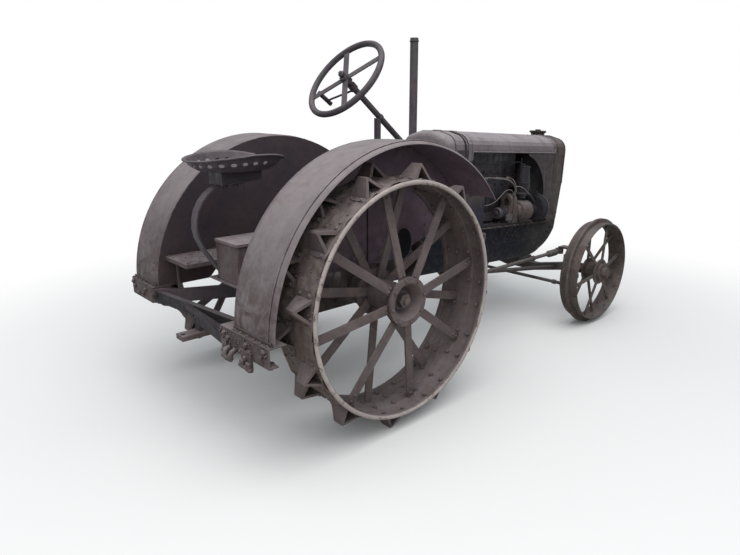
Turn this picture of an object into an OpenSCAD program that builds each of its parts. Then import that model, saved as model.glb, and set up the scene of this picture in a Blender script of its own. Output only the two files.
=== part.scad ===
// Vintage farm tractor on lugged steel wheels: open engine, plate frame, pan seat.
// Units mm. +X forward, +Y left, +Z up; Z 0 is the ground under the lug tips.

/* [Rear wheels] */
// Outer radius of the rear rim
rim_r = 610; // [560:5:640]
// Width of the rear rim
rim_w = 305; // [254:1:330]
// Height of the lugs above the rear rim
lug_h = 80; // [60:5:100]
// Lugs in one row
lug_count = 12; // [8:1:14]
// Distance between the outer edges of the two rear rims
rear_width = 1686; // [1660:2:1760]
// Spokes leaving one hub flange
rear_spokes = 8; // [6:1:10]

/* [Front wheels] */
// Outer radius of the front rim
front_rim_r = 381; // [330:1:400]
// Width of the front rim
front_rim_w = 138; // [110:2:160]
// Height of the guide ring above the front rim
ring_h = 30; // [20:1:45]
// Distance between the mid planes of the front wheels
front_track = 1300; // [1260:2:1360]
// Spokes leaving one front hub flange
front_spokes = 6; // [4:1:8]
// Distance from the rear axle to the front axle
wheelbase = 2258; // [2240:2:2300]

/* [Frame] */
// Half width of the trough frame
trough_r = 214; // [206:1:222]
// Plate thickness of the trough frame
trough_t = 6; // [5:0.5:9]
// Depth of the trough's round centre below its flange
trough_drop = 119; // [100:1:130]
// Outer half width of the frame flanges
flange_hw = 262; // [250:1:272]
// Nose-down slope of the frame and hood in degrees
nose_down = 3; // [1:0.5:4]

/* [Hood and tank] */
// Half width of the hood, tank and radiator
hood_hw = 235; // [228:1:245]
// Height of the hood's lower edge above the frame flange
hood_low = 538; // [530:1:560]
// Height of the hood's crown above the frame flange
hood_top = 678; // [660:1:710]
// Sheet thickness of the hood and side sheets
sheet = 3; // [2:0.5:4]
// Length of the fuel tank
tank_len = 166; // [120:2:180]
// Height of the exhaust's top above the ground
stack_top = 2114; // [1900:2:2300]
// Radius of the exhaust pipe
stack_r = 29; // [22:1:34]

/* [Fenders] */
// Outer radius of the fender band
fender_r = 860; // [820:5:900]
// Distance of the fender's outer edge from the centre plane
fender_out = 771; // [740:1:800]
// Distance of the fender's inner sheet from the centre plane
fender_in = 438; // [430:1:470]
// Sheet thickness of the fenders
fender_t = 4; // [3:0.5:6]

/* [Driver's place] */
// Height of the seat pan's floor above the ground
seat_z = 1322; // [1300:2:1360]
// Half width of the seat
seat_hw = 224; // [200:2:250]
// Radius of the steering wheel
hand_r = 256; // [220:2:270]
// Slope of the steering column in degrees
column_tilt = 38.7; // [36:0.1:42]
// Outer radius of the belt pulley
pulley_r = 125; // [100:1:140]
// Width of the belt pulley's face
pulley_w = 150; // [110:2:160]
// Radius of the drawbar's pin hole
hitch_r = 14; // [8:0.5:18]

/* [Hidden] */
$fn = 48;
e = 0.05;
axle_z = rim_r + lug_h;
front_z = front_rim_r + ring_h;
hitch_x = -860;
x_shift = -(hitch_x + wheelbase + front_z) / 2;
rear_mid = rear_width / 2 - rim_w / 2;
front_mid = front_track / 2;
hub_hw = 130;
spindle_r = 38;
trumpet_end = rear_mid - hub_hw - 6;
fu_x = 1800;
fu_z = 780;
inner_r = trough_r - trough_t;
rad_u0 = 430;
rad_u1 = 568;
tank_u1 = -632;
tank_u0 = tank_u1 - tank_len;
frame_u0 = -1350;
king_y = 490;
king_r = 16;
arm_len = 150;
tie_len = 170;
tie_z = front_z - 110;
link_z = 516;
fender_x = 79;
fender_z = 621;
fender_low = 642;
col_x = 121;
col_y = -196;
col_z = 1789;
pulley_x = 440;
pulley_z = 770;
pulley_y = -270;
pit_x = 1075;
pit_z = 915;
fan_u = 140;
fan_w = 300;
fan_r = 205;
beam_z = 350;
case_z = 890;
case_low = 500;
stack_x = 1145;
plate_z = 774;
box_x = -640;
bar_z = 545;
seat_x = -490;

taupe = [0.47, 0.43, 0.39];
dark = [0.24, 0.21, 0.20];
iron = [0.33, 0.29, 0.26];
rust = [0.40, 0.29, 0.23];

// Places its children in the sloped system of the frame: x along the frame, z above its flange.
module fu() {
  translate([fu_x, 0, fu_z]) rotate([0, nose_down, 0]) children();
}

// Extrudes a section drawn as (y, z) from x = a to x = b.
module along(a, b) {
  translate([a, 0, 0]) rotate([90, 0, 90]) linear_extrude(height = b - a) children();
}

// Extrudes a section drawn as (x, z) from y = a to y = b.
module across(a, b) {
  translate([0, b, 0]) rotate([90, 0, 0]) linear_extrude(height = b - a) children();
}

module both() {
  children();
  mirror([0, 1, 0]) children();
}

module bar(p, q, r, n = 16) {
  d = q - p;
  l = norm(d);
  translate(p) rotate([0, acos(d[2] / l), atan2(d[1], d[0])]) cylinder(h = l, r = r, $fn = n);
}

// The outline of hood, tank and radiator above height low, at half width hw.
module hood_section(hw, low, top) {
  sr = 95;
  polygon(concat([[-hw, low]],
    [for (i = [0 : 4]) [-hw + sr - sr * cos(i * 18), top - 22 - sr + sr * sin(i * 18)]],
    [[-hw / 3, top - 3], [hw / 3, top - 3]],
    [for (i = [4 : -1 : 0]) [hw - sr + sr * cos(i * 18), top - 22 - sr + sr * sin(i * 18)]],
    [[hw, low]]));
}

// Solid section that fills the trough: radius r, from top down.
module trough_fill(r, top) {
  translate([0, -trough_drop]) difference() {
    circle(r = r);
    translate([-r - 1, 0.01]) square([2 * r + 2, r + 1]);
  }
  translate([-r, -trough_drop]) square([2 * r, top + trough_drop]);
}

module u_frame() {
  color(dark) difference() {
    fu() difference() {
      union() {
        along(frame_u0, 566) difference() {
          trough_fill(trough_r, 0);
          trough_fill(inner_r, 1);
        }
        both() along(frame_u0, 440) translate([inner_r, -trough_t])
          square([flange_hw - inner_r, trough_t]);
      }
      across(-300, 300) polygon([[620, 5], [566, 5], [562, -40], [555, -75], [505, -140],
        [464, -190], [425, -235], [400, -340], [620, -340]]);
    }
    translate([pulley_x, 0, pulley_z]) rotate([90, 0, 0]) cylinder(h = 400, r = 60);
  }
  color(dark) fu() {
    both() for (i = [0 : 15]) translate([frame_u0 + 60 + i * 108, trough_r + 28, -1])
      cylinder(h = 6, r = 9, $fn = 6);
  }
}

module transmission() {
  color(iron) {
    difference() {
      union() {
        across(-207, 207) polygon([[-250, 560], [-250, 810], [-190, case_z], [430, case_z],
          [430, case_low + 20], [250, case_low], [-170, case_low]]);
        both() {
          translate([0, 200, axle_z]) rotate([-90, 0, 0])
            cylinder(h = 30, r = 150);
          translate([0, 200, axle_z]) rotate([-90, 0, 0])
            cylinder(h = trumpet_end - 200, r = 95);
          translate([-110, fender_in - 25, axle_z]) cube([220, 50, 110]);
          translate([0, trumpet_end - 30, axle_z]) rotate([-90, 0, 0])
            cylinder(h = 30, r = 110);
          translate([0, trumpet_end - 5, axle_z]) rotate([-90, 0, 0])
            cylinder(h = 190, r = spindle_r);
        }
      }
    }
    fu() {
      along(frame_u0 - 60, frame_u0 - 0.3) trough_fill(trough_r + 16, 40);
      along(frame_u0 - 1, tank_u0 + 100) {
        trough_fill(inner_r - 0.3, 60);
      }
    }
    translate([pulley_x, 0, pulley_z]) rotate([90, 0, 0]) {
      cylinder(h = 250, r = 58);
      cylinder(h = -pulley_y + pulley_w - 30, r = 22);
    }
  }
}

module engine_block() {
  color(dark) fu() {
    along(-650, 330) difference() {
      trough_fill(inner_r - 0.3, 0);
      translate([-300, -450]) square([600, 250]);
    }
    along(329, 345) trough_fill(inner_r - 0.3, 0);
    translate([-650, -flange_hw + 33, 0]) cube([850, 2 * flange_hw - 66, 22]);
    translate([-640, -130, 20]) cube([695, 260, 360]);
    translate([40, 0, fan_w]) rotate([0, 90, 0]) cylinder(h = 60, r = 45);
    translate([40, 0, fan_w]) rotate([0, 90, 0]) cylinder(h = fan_u, r = 14);
    translate([-600, -175, 40]) cube([350, 46, 60]);
    for (i = [0 : 3]) translate([-493 + i * 134, -129, 351]) rotate([90, 0, 0])
      cylinder(h = 25, r = 12, $fn = 6);
  }
}

module cylinder_head() {
  color(dark) fu() {
    translate([-630, -125, 380]) cube([675, 250, 78]);
    translate([-620, -138, 458]) cube([640, 276, 80]);
  }
}

module exhaust() {
  color(dark) {
    fu() {
      translate([-600, 130, 330]) cube([560, 55, 60]);
      for (i = [0 : 3]) translate([-560 + i * 150, 125.1, 380.1]) cube([70, 53, 40]);
    }
    translate([stack_x, 185, 1155]) rotate([-90, 0, 0]) cylinder(h = 94, r = 34);
    translate([stack_x, 279, 1121]) cylinder(h = stack_top - 1121, r = stack_r);
    translate([stack_x + 45, 160, 1121]) cube([40, 40, 60]);
    bar([stack_x, 215, 1155], [stack_x + 80, 175, 1160], 30);
  }
}

module magneto() {
  color(rust) fu() {
    translate([-155, -245, 22]) cube([115, 85, 125]);
    translate([-140, -202, 147]) along(0, 75) difference() {
      union() {
        circle(r = 46);
        translate([-46, -40]) square([92, 40]);
        translate([0, 40]) circle(r = 46);
        translate([-46, 0]) square([92, 40]);
      }
      translate([0, 30]) circle(r = 26);
      translate([-26, -41]) square([52, 71]);
    }
    translate([-250, -202, 95]) rotate([0, 90, 0]) cylinder(h = 96, r = 40);
  }
}

module drive_housing() {
  color(iron) fu() {
    translate([-15, -212, 102]) rotate([0, 90, 0]) rotate_extrude()
      polygon([[0, 0], [68, 0], [78, 10], [78, 112], [62, 138], [0, 138]]);
    translate([-39.7, -212, 102]) rotate([0, 90, 0]) cylinder(h = 30, r1 = 40, r2 = 66);
    translate([0, -245, 22]) cube([110, 76, 40]);
    translate([118, -212, 102]) rotate([0, 90, 0]) cylinder(h = 100, r = 40);
    translate([215, -200, 110]) rotate([0, 90, 0]) cylinder(h = 75, r = 105);
    translate([278, -200, 110]) rotate([0, 90, 0]) cylinder(h = 12, r = 109);
    translate([220, -230, 0]) cube([60, 110, 40]);
  }
}

module canister() {
  color(dark) fu() {
    translate([58, -196, 230]) cylinder(h = 96, r = 56);
    translate([58, -196, 322]) cylinder(h = 12, r = 58);
    translate([58, -196, 333]) cylinder(h = 95, r1 = 54, r2 = 46);
    translate([-20, -190, 280]) cube([70, 59.9, 30]);
  }
}

module ignition_wires() {
  // Each route is a row of points in the frame's sloped system.
  routes = [
    [[-359, -157.6, 351], [-335, -205, 358], [-204, -228, 351], [-94, -230, 292],
      [-72, -226, 243], [-80, -215, 235.5]],
    [[-80, -215, 235.5], [-100, -225, 234], [-150, -238, 268], [-200, -238, 267],
      [-292, -238, 211], [-349, -238, 182], [-447, -231.5, 165]],
    [[-94, -230, 292], [-40, -252, 289], [46, -262, 245], [120, -252, 205], [212.8, -226, 151.8]],
    [[-493, -157.6, 351], [-440, -192, 362], [-335, -205, 358]],
    [[-225, -157.6, 351], [-204, -228, 351]],
    [[-91, -157.6, 351], [-86, -206, 340], [-94, -230, 292]]];
  color([0.6, 0.56, 0.5]) fu() {
    for (p = routes) for (i = [1 : len(p) - 1]) bar(p[i - 1], p[i], 3.5, 6);
  }
}

module fan() {
  color(iron) fu() translate([fan_u - 20, 0, fan_w]) rotate([0, 90, 0]) difference() {
    union() {
      cylinder(h = 50, r = 34);
      for (a = [0 : 90 : 359]) rotate([0, 0, a]) translate([30, 0, 25]) rotate([28, 0, 0])
        translate([0, -45, -2]) cube([fan_r - 32, 90, 4]);
    }
    translate([0, 0, -1]) cylinder(h = 62, r = 14 + e);
  }
}

module radiator() {
  color(iron) fu() difference() {
    along(rad_u0, rad_u1) difference() {
      hood_section(hood_hw, 0, hood_top);
      for (s = [-1, 1]) polygon([[s * (hood_hw + 1), -1], [s * trough_r, -1],
        [s * hood_hw, 300], [s * (hood_hw + 1), 300]]);
    }
    translate([rad_u0 - 1, -185, 90]) cube([rad_u1 - rad_u0 + 2, 370, 430]);
  }
}

module radiator_core() {
  color(dark) fu() {
    translate([rad_u0 + 30, -185, 90]) cube([60, 370, 430]);
    for (i = [0 : 17]) translate([rad_u0 + 90, -178 + i * 20.5, 90]) cube([16, 6, 430]);
  }
}

module radiator_cap() {
  color(iron) fu() translate([rad_u0 + 80, 0, hood_top - 3]) {
    cylinder(h = 18, r = 54);
    translate([0, 0, 18]) cylinder(h = 20, r1 = 58, r2 = 66);
    translate([0, 0, 38]) cylinder(h = 10, r = 22, $fn = 6);
  }
}

module side_panels() {
  color(taupe) fu() both() across(hood_hw - 2 * sheet, hood_hw - sheet) difference() {
    translate([60, 0]) square([rad_u0 - 60, hood_low + 12]);
    translate([-10, 200]) circle(r = 325);
    polygon([[59, -1], [394, -1], [340, 110], [315, 200], [59, 200]]);
  }
}

module cowl() {
  color(taupe) difference() {
    fu() both() across(hood_hw - 2 * sheet, hood_hw - sheet)
      polygon([[tank_u0, 0], [-448, 0], [-448, 238], [tank_u1, 238], [tank_u1, hood_low + 12],
        [tank_u0, hood_low + 12]]);
    translate([stack_x, 0, 1155]) rotate([-90, 0, 0]) cylinder(h = 400, r = 46);
    translate([pit_x, 0, pit_z]) rotate([90, 0, 0]) cylinder(h = 400, r = 40);
  }
  color(taupe) fu() {
    translate([tank_u0, -hood_hw + 2 * sheet, 396]) cube([tank_len, 2 * hood_hw - 4 * sheet, 4]);
  }
}

module hood() {
  color(taupe) fu() along(tank_u1 + 4, rad_u0) difference() {
    hood_section(hood_hw, hood_low, hood_top);
    hood_section(hood_hw - sheet, hood_low - 1, hood_top - sheet);
  }
}

module fuel_tank() {
  color(taupe) fu() {
    along(tank_u0, tank_u1) hood_section(hood_hw - 2 * sheet, 400, hood_top - 4);
    along(tank_u1 - 40, tank_u1) difference() {
      hood_section(hood_hw + 3, 480, hood_top + 2);
      hood_section(hood_hw - 2 * sheet - 1, 479, hood_top - 5);
      translate([-hood_hw, 470]) square([2 * hood_hw, 82]);
    }
    translate([tank_u0 + 60, 0, hood_top - 8]) cylinder(h = 9, r = 30);
  }
}

// The left fender: a rolled band with a lip and a bead along its outer edge, and a flat inner sheet.
module fender_shape() {
  r = fender_r;
  t = fender_t;
  o = fender_out;
  low = asin((fender_low - fender_z) / r);
  translate([fender_x, 0, fender_z]) {
    rotate([90, 0, 0]) rotate_extrude(angle = 143 - low, start = 37, $fn = 72)
      polygon([[r - 8, -fender_in], [r - 2, 42 - o + 250], [r, 120 - o + 90], [r, 90 - o],
        [r - 2, 48 - o], [r + 1, 40 - o], [r - 3, 30 - o], [r - 7, 10 - o], [r - 18, -o],
        [r - 20, t - o], [r - 11, 14 - o], [r - 3 - t, 31 - o], [r - 2 - t, 49 - o],
        [r - t, 90 - o], [r - t, 120 - o + 90], [r - 2 - t, 42 - o + 250], [r - 8 - t, -fender_in]]);
    across(fender_in, fender_in + t) intersection() {
      circle(r = r - 9, $fn = 72);
      polygon([[763 - fender_x, 2000], [763 - fender_x, 1137 - fender_z],
        [520 - fender_x, 900 - fender_z], [250 - fender_x, axle_z + 110 - fender_z],
        [-300 - fender_x, axle_z + 110 - fender_z], [-450 - fender_x, fender_low - fender_z],
        [-1000, fender_low - fender_z], [-1000, 2000]]);
    }
  }
}

module fender_right() {
  color(taupe) mirror([0, 1, 0]) fender_shape();
}

module fender_left() {
  color(taupe) fender_shape();
}

module cross_channel() {
  color(rust) {
    // columns: inner and outer end of a foot under a fender, start of its top flange
    for (q = [[-fender_out, -347, -fender_out, -347], [475, fender_out, 480, fender_out]]) {
      translate([0, 0, -0.6]) across(q[2], q[3]) polygon([[-800, fender_low], [-800, bar_z + 20],
        [-794, bar_z + 20], [-794, fender_low - 6], [-705, fender_low - 6], [-705, fender_low]]);
      across(q[0], q[1]) polygon([[-800, bar_z], [-800, fender_low - 4],
        [-792, fender_low - 4], [-792, bar_z + 8], [-750, bar_z + 8], [-750, bar_z]]);
    }
    // columns: inner end, outer end, lower edge
    for (q = [[-420, -375, 486], [-640, -555, 504]])
      translate([-812, q[0], q[2]]) cube([13, q[1] - q[0], bar_z + 40 - q[2]]);
    // two straps from the right foot to the middle, the lower one with the drawbar's hanger
    translate([0, 0, 598]) linear_extrude(height = 36)
      polygon([[-796, -350], [-766.5, 112], [-758, 112], [-787, -350]]);
    translate([0, 0, bar_z - 5]) linear_extrude(height = 54)
      polygon([[-798, -350], [-755, 20], [-747, 20], [-789, -350]]);
    translate([-755, -30, case_low]) cube([8, 60, 60]);
  }
}

module frame_braces() {
  color(dark) {
    both() translate([0, 0, fender_low - 88]) linear_extrude(height = 81)
      polygon([[-791.5, 413], [-250, 160], [-250, 174.4], [-791.5, 427.4]]);
    translate([0, 0, fender_low - 77]) linear_extrude(height = 62)
      polygon([[-798.7, 475], [-788.7, 475], [-690, -370], [-700, -371]]);
    translate([0, 0, fender_low - 20]) linear_extrude(height = 5)
      polygon([[-798.7, 475], [-764, 475], [-666, -358], [-700, -371]]);
  }
}

module platform() {
  color(rust) {
    translate([-652, -290, plate_z - 8]) cube([402, 320, 8]);
    translate([-715, 158, 812]) cube([312, 280, 8]);
    translate([-430, 10, plate_z - 8]) cube([27, 160, 46]);
    translate([-685, 361, fender_low - 7]) cube([12, 12, 177]);
  }
}

module toolbox() {
  color(rust) difference() {
    translate([box_x + 5, -265, plate_z]) cube([295, 220, 208]);
    translate([box_x + 9, -261, plate_z + 4]) cube([287, 212, 210]);
  }
}

module toolbox_lid() {
  color(rust) difference() {
    translate([box_x - 3, -273, plate_z + 200]) cube([311, 228, 16]);
    translate([box_x, -270, plate_z + 199]) cube([305, 226, 9.3]);
  }
}

// A bent strip of thickness t along points, drawn as one outline.
function strip_normal(p, i) = let (a = p[max(i - 1, 0)], b = p[min(i + 1, len(p) - 1)], d = (b - a) / norm(b - a))
  [d[1], -d[0]];
module strip(p, t) {
  n = len(p) - 1;
  polygon(concat(p, [for (i = [n : -1 : 0]) p[i] + t * strip_normal(p, i)]));
}

module seat_spring() {
  color(dark) across(-30, 30)
    strip([[-500, plate_z], [-572, plate_z], [-590, plate_z + 8], [-608, plate_z + 28],
      [-648, 858], [-694, 930], [-721, 990], [-730, 1040], [-727, 1090], [-713, 1135],
      [-688, 1180], [-653, 1217], [-615, 1243], [-580, seat_z - 65.2], [-380, seat_z - 49]], 10);
}

// The pan is a shell of rings. Columns: angle from the front, reach from the middle, rim height.
seat_plan = [[0, 0.87, 34], [15, 0.98, 46], [30, 1.16, 68], [38, 1.21, 74], [50, 1.16, 84],
  [65, 1.07, 92], [90, 1, 92], [120, 1.05, 80], [135, 1.08, 74], [150, 1.08, 67],
  [165, 1.06, 64], [180, 1.05, 62]];
// Columns: share of the reach, added reach, share of the rim height, drop.
seat_rings = [[0.45, 0, 0.02, 0], [0.72, 0, 0.15, 0], [0.88, 0, 0.5, 0], [0.96, 0, 0.92, 0],
  [1, 2, 1, 0], [1, 10, 1, 4], [1, 9, 1, 9], [0.96, 5, 0.92, 2], [0.88, 4, 0.5, 3],
  [0.72, 2, 0.15, 4.5], [0.45, 0, 0.02, 5]];

function seat_row(a, k) = lookup(a, [for (p = seat_plan) [p[0], p[k]]]);

module pan_shell() {
  n = 32;
  m = len(seat_rings);
  pts = concat([for (q = seat_rings) each [for (i = [0 : n - 1])
      let (a = i * 360 / n, b = a > 180 ? 360 - a : a, r = q[0] * seat_hw * seat_row(b, 1) + q[1])
      [r * cos(a), r * sin(a), q[2] * seat_row(b, 2) - q[3]]]], [[0, 0, 0], [0, 0, -5]]);
  polyhedron(points = pts, faces = concat(
    [for (j = [0 : m - 2]) each [for (i = [0 : n - 1]) [j * n + i, j * n + (i + 1) % n, (j + 1) * n + i]]],
    [for (j = [0 : m - 2]) each [for (i = [0 : n - 1])
      [j * n + (i + 1) % n, (j + 1) * n + (i + 1) % n, (j + 1) * n + i]]],
    [for (i = [0 : n - 1]) [m * n, (i + 1) % n, i]],
    [for (i = [0 : n - 1]) [m * n + 1, (m - 1) * n + i, (m - 1) * n + (i + 1) % n]]));
}

module seat_pan() {
  color(dark) {
    across(-70, 70) polygon([[-590, seat_z - 66], [-358, seat_z - 47.2], [-358, seat_z - 3],
      [-590, seat_z - 3]]);
    difference() {
      translate([seat_x, 0, seat_z]) pan_shell();
      for (i = [-7 : 7]) translate([seat_x, 0, seat_z + 0.45 * seat_row(180 - 16 * abs(i), 2)])
        rotate([0, 0, 180 + i * 16])
        translate([150, 0, 0]) rotate([0, 85, 0]) scale([0.55, 1, 1]) cylinder(h = 150, r = 15, $fn = 10);
    }
  }
}

module steering_column() {
  color(dark) {
    translate([col_x, col_y, col_z]) rotate([0, 90 + column_tilt, 0]) {
      translate([0, 0, -30]) cylinder(h = 400, r = 11);
      translate([0, 0, 50]) cylinder(h = 34, r = 23);
      translate([0, 0, 60]) cylinder(h = 1130, r = 17);
    }
    fu() translate([-800, -225, 60]) cube([150, 75, 165]);
    translate([pit_x, -200, pit_z]) rotate([90, 0, 0]) cylinder(h = 125, r = 15);
    translate([345, col_y - 15, case_z]) cube([26, 30, 690]);
    bar([190, col_y, 1734], [205, 74, 1680], 6, 12);
    bar([146, 80, 1724], [236, 80, 1660], 13);
  }
}

module steering_wheel() {
  color(dark) translate([col_x, col_y, col_z]) rotate([0, 90 + column_tilt, 0]) difference() {
    union() {
      translate([0, 0, -20]) cylinder(h = 50, r = 26);
      rotate_extrude() translate([hand_r - 17, 0]) circle(r = 17, $fn = 12);
      for (a = [56 : 90 : 359]) rotate([0, 0, a]) translate([20, -17, -3]) cube([hand_r - 36, 34, 6]);
    }
    translate([0, 0, -21]) cylinder(h = 60, r = 11 + e);
  }
}

module pitman_arm() {
  color(dark) {
    difference() {
      union() {
        translate([pit_x, -240, pit_z]) rotate([90, 0, 0]) cylinder(h = 90, r = 34);
        across(-330, -308) polygon([[pit_x - 30, pit_z], [pit_x + 30, pit_z],
          [pit_x + 18, link_z - 20], [pit_x - 18, link_z - 20]]);
      }
      translate([pit_x, -239, pit_z]) rotate([90, 0, 0]) cylinder(h = 92, r = 15 + e);
    }
    translate([pit_x, -309, link_z]) rotate([90, 0, 0]) cylinder(h = 76, r = 10);
  }
}

module drag_link() {
  y = -king_y + arm_len;
  color(dark) {
    difference() {
      translate([pit_x, y + 8, link_z]) rotate([90, 0, 0]) cylinder(h = 16, r = 36);
      translate([pit_x, y + 9, link_z]) rotate([90, 0, 0]) cylinder(h = 18, r = 24);
    }
    bar([pit_x + 32, y, link_z], [wheelbase - 30, y, link_z], 14);
    difference() {
      translate([wheelbase, y, link_z - 20]) cylinder(h = 40, r = 32);
      translate([wheelbase, y, link_z - 21]) cylinder(h = 42, r = 12 + e);
    }
  }
}

module levers() {
  color(dark) {
    bar([120, 60, case_z + 30], [40, 120, 1250], 10);
    translate([120, 60, case_z]) cylinder(h = 50, r1 = 45, r2 = 20);
    bar([180, -90, case_z + 20], [150, -110, 1200], 9);
    translate([180, -90, case_z]) cylinder(h = 34, r = 22);
  }
}

module belt_pulley() {
  color(iron) translate([pulley_x, pulley_y, pulley_z]) rotate([90, 0, 0]) difference() {
    union() {
      difference() {
        cylinder(h = pulley_w, r = pulley_r);
        translate([0, 0, 30]) cylinder(h = pulley_w, r = pulley_r - 10);
      }
      cylinder(h = pulley_w - 20, r = 45);
    }
    translate([0, 0, -1]) cylinder(h = pulley_w + 2, r = 22 + e);
  }
}

module drawbar() {
  color(rust) difference() {
    translate([hitch_x, -40, case_low - 28]) cube([-100 - hitch_x, 80, 28]);
    translate([hitch_x + 22, 0, case_low - 30]) cylinder(h = 32, r = hitch_r);
  }
}

// One lug: a folded plate with open ends on two feet. Its ridge runs along the wheel's axis.
module lug() {
  intersection() {
    linear_extrude(height = 122, center = true)
      polygon([[rim_r - 9, -80], [rim_r + 3, -80], [rim_r + 6, -57], [rim_r + lug_h, -5],
        [rim_r + lug_h, 5], [rim_r + 6, 57], [rim_r + 3, 80], [rim_r - 9, 80], [rim_r - 9, 49],
        [rim_r + lug_h - 15, 0], [rim_r - 9, -49]]);
    rotate([90, 0, 0]) linear_extrude(height = 200, center = true)
      polygon([[rim_r - 10, -61], [rim_r + lug_h + 1, -29], [rim_r + lug_h + 1, 29],
        [rim_r - 10, 61]]);
  }
}

// One wheel lying flat: z is its axis and points outboard.
module rear_wheel() {
  hw = rim_w / 2;
  rotate_extrude($fn = 64) polygon([[rim_r, -hw], [rim_r, hw], [rim_r - 21, hw],
    [rim_r - 21, hw - 20], [rim_r - 9, hw - 26], [rim_r - 9, 60], [rim_r - 17, 54],
    [rim_r - 17, -48], [rim_r - 9, -54], [rim_r - 9, 26 - hw], [rim_r - 21, 20 - hw],
    [rim_r - 21, -hw]]);
  difference() {
    union() {
      cylinder(h = 2 * hub_hw, r = 78, center = true);
      translate([0, 0, hub_hw - 90]) cylinder(h = 71, r1 = 78, r2 = 110);
      translate([0, 0, hub_hw - 20]) cylinder(h = 20, r = 127);
      translate([0, 0, -hub_hw]) cylinder(h = 20, r = 127);
    }
    translate([0, 0, hub_hw - 60]) cylinder(h = 61, r1 = 60, r2 = 99);
    translate([0, 0, -hub_hw - 1]) cylinder(h = 181, r = spindle_r + e);
  }
  translate([0, 0, hub_hw - 61]) cylinder(h = 10, r = 54);
  translate([0, 0, hub_hw - 52]) cylinder(h = 30, r = 38, $fn = 6);
  translate([0, 0, hub_hw - 23]) cylinder(h = 16, r = 18);
  // columns: angle of the first spoke, height at hub, height at rim, radius of its inner end
  for (s = [[10, hub_hw - 26, 50, 92], [10 + 180 / rear_spokes, 26 - hub_hw, -42, 74]])
    for (i = [0 : rear_spokes - 1])
      rotate([0, 0, s[0] + i * 360 / rear_spokes]) rotate([90, 0, 0])
        linear_extrude(height = 46, center = true)
          polygon([[s[3], s[1] - 6], [rim_r - 7, s[2] - 6], [rim_r - 7, s[2] + 6],
            [s[3], s[1] + 6]]);
  // columns: angle of the first lug, centre of the row
  for (s = [[-8, rim_w / 4], [7, -rim_w / 4]])
    for (i = [0 : lug_count - 1])
      rotate([0, 0, s[0] + i * 360 / lug_count]) translate([0, 0, s[1]]) lug();
}

module front_wheel() {
  hw = front_rim_w / 2;
  rotate_extrude($fn = 48) polygon([[front_rim_r, -hw], [front_rim_r, -14],
    [front_rim_r + ring_h, -10], [front_rim_r + ring_h, 10], [front_rim_r, 14],
    [front_rim_r, hw], [front_rim_r - 10, hw], [front_rim_r - 10, -hw]]);
  difference() {
    union() {
      translate([0, 0, -70]) cylinder(h = 150, r = 66);
      translate([0, 0, 44]) cylinder(h = 12, r = 98);
      translate([0, 0, -56]) cylinder(h = 12, r = 92);
      translate([0, 0, 79]) cylinder(h = 34, r = 42);
    }
    translate([0, 0, -71]) cylinder(h = 131, r = 25 + e);
  }
  for (s = [[12, 50, 16], [12 + 180 / front_spokes, -50, -16]])
    for (i = [0 : front_spokes - 1])
      rotate([0, 0, s[0] + i * 360 / front_spokes]) rotate([90, 0, 0])
        linear_extrude(height = 26, center = true)
          polygon([[50, s[1] - 5], [front_rim_r - 5, s[2] - 5], [front_rim_r - 5, s[2] + 5],
            [50, s[1] + 5]]);
}

module rear_wheel_right() {
  color(iron) translate([0, -rear_mid, axle_z]) rotate([90, 0, 0]) rear_wheel();
}

module rear_wheel_left() {
  color(iron) mirror([0, 1, 0]) translate([0, -rear_mid, axle_z]) rotate([90, 0, 0]) rear_wheel();
}

module front_wheel_right() {
  color(iron) translate([wheelbase, -front_mid, front_z]) rotate([90, 0, 0]) front_wheel();
}

module front_wheel_left() {
  color(iron) mirror([0, 1, 0]) translate([wheelbase, -front_mid, front_z]) rotate([90, 0, 0])
    front_wheel();
}

module front_axle() {
  color(dark) {
    translate([wheelbase, 0, 0]) {
      across_beam();
      both() {
        translate([0, king_y, front_z + 66]) cylinder(h = 24, r = 36);
        translate([0, king_y, front_z - 90]) cylinder(h = 24, r = 36);
        translate([0, king_y, front_z - 70]) cylinder(h = 140, r = king_r);
        translate([-30, king_y - 92, front_z - 90]) cube([60, 54, 180]);
        translate([-30, king_y - 40, front_z - 90]) cube([60, 40, 24]);
        translate([-30, king_y - 40, front_z + 66]) cube([60, 40, 24]);
      }
    }
    difference() {
      translate([wheelbase - 150, -55, beam_z + 20]) cube([195, 110, 120]);
      fu() along(250, 640) translate([0, -trough_drop]) circle(r = trough_r + 0.2);
    }
  }
}

module across_beam() {
  translate([-30, 0, 0]) rotate([90, 0, 90]) linear_extrude(height = 60)
    polygon([[-king_y + 38, front_z - 30], [-150, beam_z - 30], [150, beam_z - 30],
      [king_y - 38, front_z - 30], [king_y - 38, front_z + 30], [150, beam_z + 30],
      [-150, beam_z + 30], [-king_y + 38, front_z + 30]]);
}

module radius_rods() {
  color(dark) {
    both() bar([wheelbase - 37, 322, 385], [1430, 30, 415], 16);
    translate([1420, 0, 412]) sphere(r = 40);
    difference() {
      translate([1385, -35, 430]) cube([70, 70, 60]);
      fu() along(-500, -200) translate([0, -trough_drop]) circle(r = trough_r + 0.2);
    }
  }
}

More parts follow.
